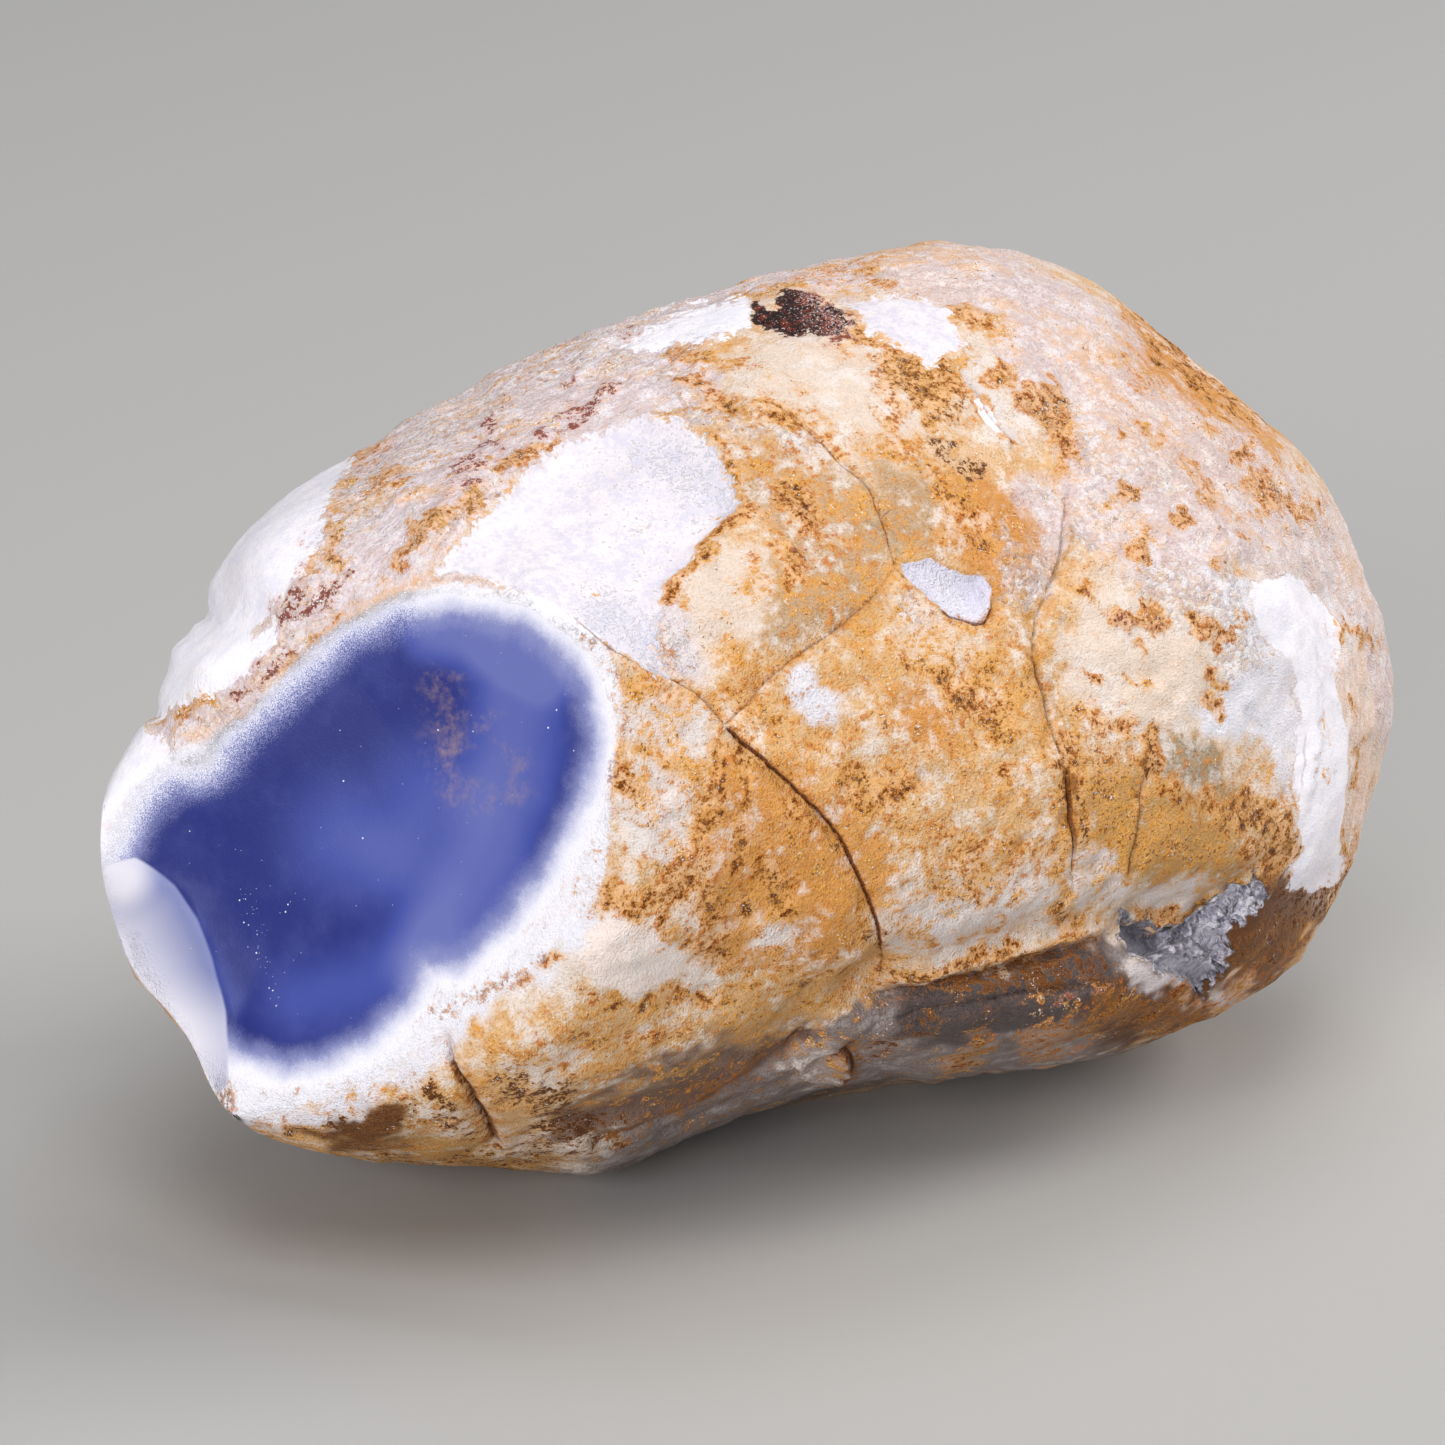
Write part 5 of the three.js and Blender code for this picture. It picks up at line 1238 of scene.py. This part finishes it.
tints = {
    "crustDark": (0.62, 0.47, 0.47),
    "layerDark": (0.80, 0.62, 0.55),
    "chalkDull": (0.70, 0.67, 0.77),
    "chalkWarm": (0.86, 0.80, 0.82),
    "chalkCool": (0.88, 0.86, 0.95),
    "chalkWhite": (0.96, 0.92, 0.96),
    "chalkPit": (0.66, 0.68, 0.84),
    "rustRed": (0.66, 0.19, 0.025),
    "fleck": (0.30, 0.11, 0.03),
    "rimWhite": (0.92, 0.90, 0.965),
    "haloWhite": (0.90, 0.88, 0.94),
    # the blue from dark to light, for its painted sheen
    "blueDark": (0.011, 0.016, 0.150),
    "blueMiddle": (0.055, 0.080, 0.345),
    "blueSheen": (0.135, 0.16, 0.43),
    "chipBlue": (0.25, 0.28, 0.52),
    "chipPale": (0.86, 0.83, 0.91),
    # white specks on the blue, partly painted glints
    "speckAndGlint": (0.85, 0.85, 0.95),
    "flakeBlue": (0.76, 0.74, 0.88),
    "crystalDark": (0.34, 0.32, 0.41),
    # the hollow's faces, shaded and lit: painted shade
    "faceShaded": (0.10, 0.09, 0.12),
    "faceLit": (0.85, 0.83, 0.95),
    "spotDark": (0.022, 0.010, 0.009),
    "spotWine": (0.30, 0.085, 0.055),
    "crackGlow": (0.56, 0.22, 0.05),
}

# Coats of the finish: the value at which each sets in and the one at which it is full, how much of it
# there is at most, and its colour where that is a plain one.
coats = {
    "lightGround": (0.1, 0.4, 1),
    "warmCloud": (0.45, 0.95, 0.75, (0.98, 0.74, 0.46)),
    "paleCloud": (0.5, 0.9, 0.75, (0.90, 0.81, 0.76)),
    "sandGrain": (0.5, 0.1, 0.5, (0.58, 0.40, 0.24)),
    "crustPale": (0.25, 0.8, 1, (0.96, 0.92, 0.94)),
    "crustPeach": (0.45, 0.85, 0.85, (0.87, 0.52, 0.28)),
    "layerPale": (0.35, 0.75, 1, (0.93, 0.89, 0.92)),
    "grains": (0.35, 0.8, 1),
    "chalk": (-0.12, 0.16, 1),
    "chalkMottle": (0.15, 0.75, 1),
    "chalkPits": (0.4, 0.75, 1),
    "rustByWarmth": (0.2, 1.1, 0.34),
    "rustByChalk": (-1, -0.1, 0.3),
    "rustWash": (0.2, 0.85, 0.75, (0.88, 0.46, 0.16)),
    "rustOrange": (0.3, 0.8, 1, (0.87, 0.42, 0.07)),
    "rust": (0.36, 0.8, 0.82),
    "rustSmudge": (0.7, 1.3, 0.5, (0.52, 0.19, 0.025)),
    "rustDeep": (0.8, 1.35, 0.82, (0.42, 0.125, 0.01)),
    "rustDarkest": (1.35, 2.1, 0.88, (0.13, 0.032, 0.004)),
    "umberSoft": (0.1, 0.8, 0.65, (0.42, 0.18, 0.05)),
    "umberDeep": (0.6, 1.2, 0.9, (0.11, 0.027, 0.003)),
    "wineSoft": (0.15, 0.6, 0.5, (0.70, 0.34, 0.24)),
    "wineDeep": (0.45, 0.75, 0.92, (0.24, 0.05, 0.028)),
    "flecks": (1.08, 1.2, 1),
    # painted glints
    "paintedGlint": (1.06, 1.15, 0.85, (0.95, 0.91, 0.89)),
    "rim": (-0.15, 0.2, 1),
    "rimPeach": (0.55, 0.9, 0.35, (0.86, 0.66, 0.60)),
    "blueCloud": (0.4, 0.9, 0.2, (0.10, 0.12, 0.39)),
    "haloPale": (-1.15, -0.3, 1, (0.64, 0.64, 0.78)),
    "haloBlue": (-0.6, 0.4, 1, (0.26, 0.28, 0.52)),
    "deepBlue": (-0.1, 1.5, 1),
    "haloEdge": (-1.5, -0.8, 1),
    "endEdge": (-0.6, 0.1, 1),
    "chip": (-0.12, 0.1, 1),
    "blueDust": (0.12, 0.8, 0.5, (0.50, 0.32, 0.20)),
    "dustEdge": (0.5, 1.5, 1),
    "speckGlintEdge": (0.2, 0.6, 1),
    "flakePale": (0.3, 0.8, 1, (0.90, 0.87, 0.97)),
    "flake": (-0.03, 0.05, 1),
    "crystalPale": (0.2, 0.85, 1, (0.92, 0.90, 0.98)),
    "hollowFace": (-0.12, 0.05, 1),
    "hollow": (-0.05, 0.12, 1),
    "spotRed": (0.55, 0.85, 1, (0.19, 0.035, 0.02)),
    "spotMottle": (0.3, 0.7, 1),
    # painted glints on the dark spot
    "spotGlint": (0.87, 1, 0.7, (0.75, 0.62, 0.60)),
    "spot": (-0.03, 0.06, 1),
    "crackGlow": (0.9, 0.05, 0.7),
    "crackNear": (0.2, 0.95, 1),
    "crackLine": (0.2, 0.06, 1, (0.17, 0.05, 0.014)),
}

finish = {
    "grainSize": 0.27,  # mm, of the crystal grains in the skin
    "blockSize": 0.5,  # and of the crystals in the hollow
    "crustShare": 0.6,
    "layerShare": 0.5,
    "grainShare": 0.6,
    "pitShare": 0.65,
    "fleckShare": 0.85,
    "textureStart": 0.14,
    "textureGain": 3.3,
    "rustOnEnd": (0.35, 0.9, 0.95, 0.3),  # the white rim gives way where rust goes from low to high
    # white specks on the blue, partly painted glints
    "specksAndGlints": ((0.24, 0.997, 0.9), (0.13, 0.993, 0.5)),  # size, how rare and how bright
    "speckGlintRadius": (0.26, 0.14),
    "roughness": (0.38, 0.62),
    "chalkRougher": 0.28,
    "blueRoughness": 0.36,
    "specular": 0.2,
    "bumpDepth": 0.13,  # mm
}

# Colours of the crystal grains, and from which share of the cells on each is used.
grainColours = (
    (0, (0.95, 0.93, 0.96)),
    (0.34, (0.72, 0.55, 0.52)),
    (0.56, (0.86, 0.64, 0.46)),
    (0.74, (0.58, 0.50, 0.52)),
    (0.92, (0.26, 0.11, 0.07)),
)

# What one layer of the finish keeps for later ones.
kept = {}


def amountOf(name, value):
    low, high, most = coats[name][:3]
    return spread(value, low, high, 0, most)


def coated(colour, name, value, share=None, tint=None, blend="MIX"):
    amount = amountOf(name, value)
    if share is not None:
        amount = times(amount, share)
    return mix(amount, colour, tint or coats[name][3], blend)


# ground colour with warm and pale clouds and sandy grain
def paintGround():
    ground = addNode("Attribute", attribute_name="groundColour").outputs["Color"]
    clean = kept["clean"] = mark("clean")
    lightGround = kept["lightGround"] = amountOf("lightGround", channels(ground)[1])
    warm = timesPlus(clean, -0.28, level(small=0.5, middle=0.7, longStreaks=0.4, wide=0.4))
    kept["warm"] = warm
    colour = coated(ground, "warmCloud", warm, blend="MULTIPLY")
    pale = level(small=-0.35, middle=-0.7, fine=0.2, wide=-0.4)
    colour = coated(colour, "paleCloud", pale, lightGround)
    unclean = timesPlus(clean, -0.6, 1)
    return coated(colour, "sandGrain", level(grit=0.6, fine=0.5), unclean, blend="MULTIPLY")


# streaks of white, peach and lilac along the crust, and crystal grains
def paintCrust(colour):
    crust = kept["crust"] = mark("crust")
    paleLevel = level(middle=0.6, wide=0.3, streaks=0.4, fine=0.3)
    crustTint = coated(tints["crustDark"], "crustPale", paleLevel)
    crustTint = coated(crustTint, "crustPeach", level(longStreaks=0.5, wide=0.6, small=0.4))
    colour = mix(times(crust, finish["crustShare"]), colour, crustTint)
    layerTint = coated(tints["layerDark"], "layerPale", noises["layers"])
    colour = mix(times(mark("layered"), finish["layerShare"]), colour, layerTint)

    grains = cells(finish["grainSize"])
    ramp = addNode("ValToRGB")
    ramp.color_ramp.interpolation = "CONSTANT"
    elements = ramp.color_ramp.elements
    for element, (start, tint) in zip(elements, (grainColours[0], grainColours[-1])):
        element.position, element.color = start, tint + (1,)
    for start, tint in grainColours[1:-1]:
        elements.new(start).color = tint + (1,)
    give(ramp.inputs[0], grains["Color"])
    kept["grainDistance"] = grains["Distance"]
    grainShare = kept["grainShare"] = amountOf("grains", level(mark("grainy"), small=0.8, fine=0.4))
    return mix(times(grainShare, finish["grainShare"]), colour, ramp.outputs["Color"])


def paintChalk(colour):
    chalk = kept["chalk"] = amountOf("chalk", level(mark("chalk"), small=0.85, fine=0.5, grit=0.2))
    kept["skinOnly"] = maths("SUBTRACT", 1, chalk, clamp=True)
    mottle = amountOf("chalkMottle", level(small=0.5, fine=0.5, middle=0.5))
    dull = mix(mottle, tints["chalkDull"], tints["chalkWarm"])
    tint = mix(mark("chalkWhite"), dull, mix(mottle, tints["chalkCool"], tints["chalkWhite"]))
    pitLevel = level(times(mark("pitted"), 0.5), fine=0.6, small=0.4, grit=0.3)
    pits = kept["pits"] = amountOf("chalkPits", pitLevel)
    tint = mix(times(pits, finish["pitShare"]), tint, tints["chalkPit"])
    return mix(chalk, colour, tint)


# iron stains, from a faint orange wash to dark grains
def paintStains(colour):
    chalk, skinOnly = kept["chalk"], kept["skinOnly"]
    plain = times(times(skinOnly, timesPlus(kept["crust"], -0.7, 1)), timesPlus(kept["clean"], -0.8, 1))
    rust = timesPlus(amountOf("rustByWarmth", kept["warm"]), plain, mark("rust"))
    rust = timesPlus(amountOf("rustByChalk", mark("chalk")), skinOnly, rust)
    rust = kept["rustMark"] = timesPlus(chalk, -0.45, rust, clamp=True)
    onLight = timesPlus(kept["lightGround"], 0.85, 0.15)
    colour = coated(colour, "rustWash", level(rust, middle=0.35, small=0.35, longStreaks=0.2), onLight)

    texture = level(finish["textureStart"], middle=0.55, small=0.85, fine=1, grit=0.4, streaks=0.45)
    texture = kept["texture"] = times(maths("MAXIMUM", texture, 0), finish["textureGain"])
    rustLevel = kept["rustLevel"] = times(rust, texture)
    rustTint = coated(tints["rustRed"], "rustOrange", level(wide=0.5, middle=0.7))
    colour = coated(colour, "rust", rustLevel, tint=rustTint)
    colour = coated(colour, "rustSmudge", level(rust, middle=0.3, small=0.3))
    deepLevel = times(rustLevel, rust)
    colour = coated(colour, "rustDeep", maths("MAXIMUM", deepLevel, times(rustLevel, 0.7)))
    colour = coated(colour, "rustDarkest", deepLevel)

    umberLevel = times(mark("umber"), times(texture, skinOnly))
    colour = coated(colour, "umberSoft", umberLevel)
    colour = coated(colour, "umberDeep", umberLevel)
    wineTexture = level(streaks=0.9, small=0.4, fine=0.9, grit=0.4)
    wineLevel = times(mark("wine"), maths("MAXIMUM", wineTexture, 0))
    colour = coated(colour, "wineSoft", wineLevel)
    return coated(colour, "wineDeep", wineLevel)


# dark flecks where the speck mark is high, and painted glints, most on the crust
def paintFlecks(colour):
    start = timesPlus(kept["rustMark"], 0.08, times(kept["clean"], -0.06))
    start = maths("ADD", timesPlus(mark("speck"), 0.22, start), noises["flecks"])
    fleck = times(amountOf("flecks", level(start, small=0.35, middle=0.5)), kept["skinOnly"])
    kept["fleck"] = fleck
    colour = mix(times(fleck, finish["fleckShare"]), colour, tints["fleck"])
    # painted glints, more of them on the crust
    paintedGlint = timesPlus(kept["crust"], 0.14, level(noises["glintNoise"], small=0.4, middle=0.5))
    return coated(colour, "paintedGlint", paintedGlint, kept["skinOnly"])


# the blue inside with its white halo and its painted sheen, the chip, and rust dust and white specks on the
# blue, the specks partly painted glints
def paintBrokenEnd(colour):
    broken, blue, blueSheen = mark("broken"), mark("blue"), mark("blueSheen")
    rimTint = coated(tints["rimWhite"], "rimPeach", level(middle=0.6, small=0.4))
    rustless = spread(kept["rustLevel"], *finish["rustOnEnd"])
    colour = coated(colour, "rim", level(broken, small=0.5, fine=0.3), rustless, rimTint)

    frost = times(maths("SUBTRACT", noises["sugar"], 0.5), timesPlus(mark("frost"), 0.95, 0.2))
    blueLevel = level(maths("ADD", blue, frost), fine=0.12, middle=0.5)
    # the blue goes from dark to light with its painted sheen
    deep = mix(spread(blueSheen, 0, 0.5, kind="LINEAR"), tints["blueDark"], tints["blueMiddle"])
    deep = mix(spread(blueSheen, 0.5, 1, kind="LINEAR"), deep, tints["blueSheen"])
    deep = coated(deep, "blueCloud", level(wide=0.6, middle=0.4))
    halo = coated(tints["haloWhite"], "haloPale", blueLevel)
    halo = coated(halo, "haloBlue", blueLevel)
    halo = coated(halo, "deepBlue", blueLevel, tint=deep)
    kept["onBlue"] = times(amountOf("haloEdge", blueLevel), amountOf("endEdge", broken))
    colour = mix(kept["onBlue"], colour, halo)
    chipTint = mix(mark("chipPale"), tints["chipBlue"], tints["chipPale"])
    colour = coated(colour, "chip", mark("chip"), tint=chipTint)

    dusty = times(mark("rust"), level(middle=0.8, small=0.5, fine=0.3))
    colour = coated(colour, "blueDust", dusty, amountOf("dustEdge", blue))
    # white specks on the blue, partly painted glints
    for size, rarity, bright in finish["specksAndGlints"]:
        specksAndGlints = cells(size)
        rare = timesPlus(mark("speck"), -0.3, rarity)
        speckAndGlint = maths("GREATER_THAN", channels(specksAndGlints["Color"])[1], rare)
        speckAndGlint = times(speckAndGlint, spread(specksAndGlints["Distance"], *finish["speckGlintRadius"], 0, bright))
        colour = mix(times(speckAndGlint, amountOf("speckGlintEdge", blue)), colour, tints["speckAndGlint"])
    return colour


# the flake's bed, the hollow's crystals with its faces in painted shade, and the dark spot with painted
# glints
def paintHollow(colour):
    flakeTint = coated(tints["flakeBlue"], "flakePale", level(middle=0.5, small=0.3))
    colour = coated(colour, "flake", level(mark("flake"), fine=0.08), tint=flakeTint)

    blocks = cells(finish["blockSize"])
    noises["blocks"] = channels(blocks["Color"])[0]
    paleLevel = level(middle=0.4, small=0.4, fine=0.6, blocks=0.5)
    crystalTint = coated(tints["crystalDark"], "crystalPale", paleLevel)
    # faces shaded and lit by their painted lightness
    faceTint = mix(mark("hollowFaceShade"), tints["faceShaded"], tints["faceLit"])
    crystalTint = coated(crystalTint, "hollowFace", mark("hollowFace"), tint=faceTint)
    hollow = amountOf("hollow", level(mark("hollow"), small=0.5))
    kept["blockRelief"] = times(blocks["Distance"], hollow)
    colour = mix(hollow, colour, crystalTint)

    wine = mark("wine")
    spotTint = coated(tints["spotDark"], "spotRed", level(small=0.8, fine=0.6))
    spotTint = mix(times(wine, amountOf("spotMottle", noises["fine"])), spotTint, tints["spotWine"])
    # painted glints on the dark spot
    spotTint = coated(spotTint, "spotGlint", timesPlus(wine, 0.3, noises["grit"]))
    return coated(colour, "spot", level(mark("spot"), small=0.3, fine=0.2), tint=spotTint)


def paintCracks(colour):
    gap = maths("ABSOLUTE", level(mark("crackSide"), fine=0.12, small=0.1))
    near = mark("crackNear")
    glow = maths("MULTIPLY", amountOf("crackGlow", gap), times(near, kept["texture"]), clamp=True)
    colour = mix(times(glow, kept["skinOnly"]), colour, tints["crackGlow"])
    return coated(colour, "crackLine", gap, amountOf("crackNear", near))


def makeGloss():
    rough = spread(level(fine=0.5, small=0.5), 0, 1, *finish["roughness"])
    rough = level(timesPlus(kept["chalk"], finish["chalkRougher"], rough), grit=0.1)
    give(skinSurface.inputs["Roughness"], mix(kept["onBlue"], rough, (finish["blueRoughness"],) * 3))
    give(skinSurface.inputs["Specular IOR Level"], finish["specular"])


# fine relief under the facets: what is added up, and how much of it
def makeBump():
    heights = times(noises["grit"], 0.35)
    for value, weight in (
        (noises["fine"], timesPlus(kept["grainShare"], 0.5, 0.3)),
        (noises["small"], 0.25),
        (noises["streaks"], times(kept["crust"], 0.7)),
        (kept["grainDistance"], times(kept["grainShare"], -0.8)),
        (kept["rustLevel"], 0.25),
        (kept["fleck"], -0.5),
        (kept["pits"], -1.2),
        (kept["blockRelief"], -4),
    ):
        heights = timesPlus(value, weight, heights)
    heights = times(heights, timesPlus(kept["chalk"], -0.55, 1))
    heights = times(heights, timesPlus(kept["onBlue"], -0.95, 1))
    bump = addNode("Bump")
    give(bump.inputs["Strength"], 1)
    give(bump.inputs["Distance"], finish["bumpDepth"] * mm)
    give(bump.inputs["Height"], heights)
    give(skinSurface.inputs["Normal"], bump.outputs["Normal"])


def makeStoneFinish():
    for name, (size, detail, roughness, *streak) in noiseKinds.items():
        places = squeezedPlaces(*streak) if streak else objectPlaces
        noises[name] = clouds(size, detail, roughness, places)
    colour = paintGround()
    for paint in (paintCrust, paintChalk, paintStains, paintFlecks, paintBrokenEnd, paintHollow, paintCracks):
        colour = paint(colour)
    give(skinSurface.inputs["Base Color"], colour)
    makeGloss()
    makeBump()
    print("finish made:", len(skinTree.nodes), "nodes")


def makeStone():
    piece = makeRoughBall()
    shapeStone(piece)
    makeStoneFinish()
    piece.data.materials.append(skinMaterial)
    bpy.ops.object.shade_smooth()
    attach(piece, "root")
    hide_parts("chalcedony_nodule")
    print("stone made:", len(piece.data.polygons), "faces")


makeStone()
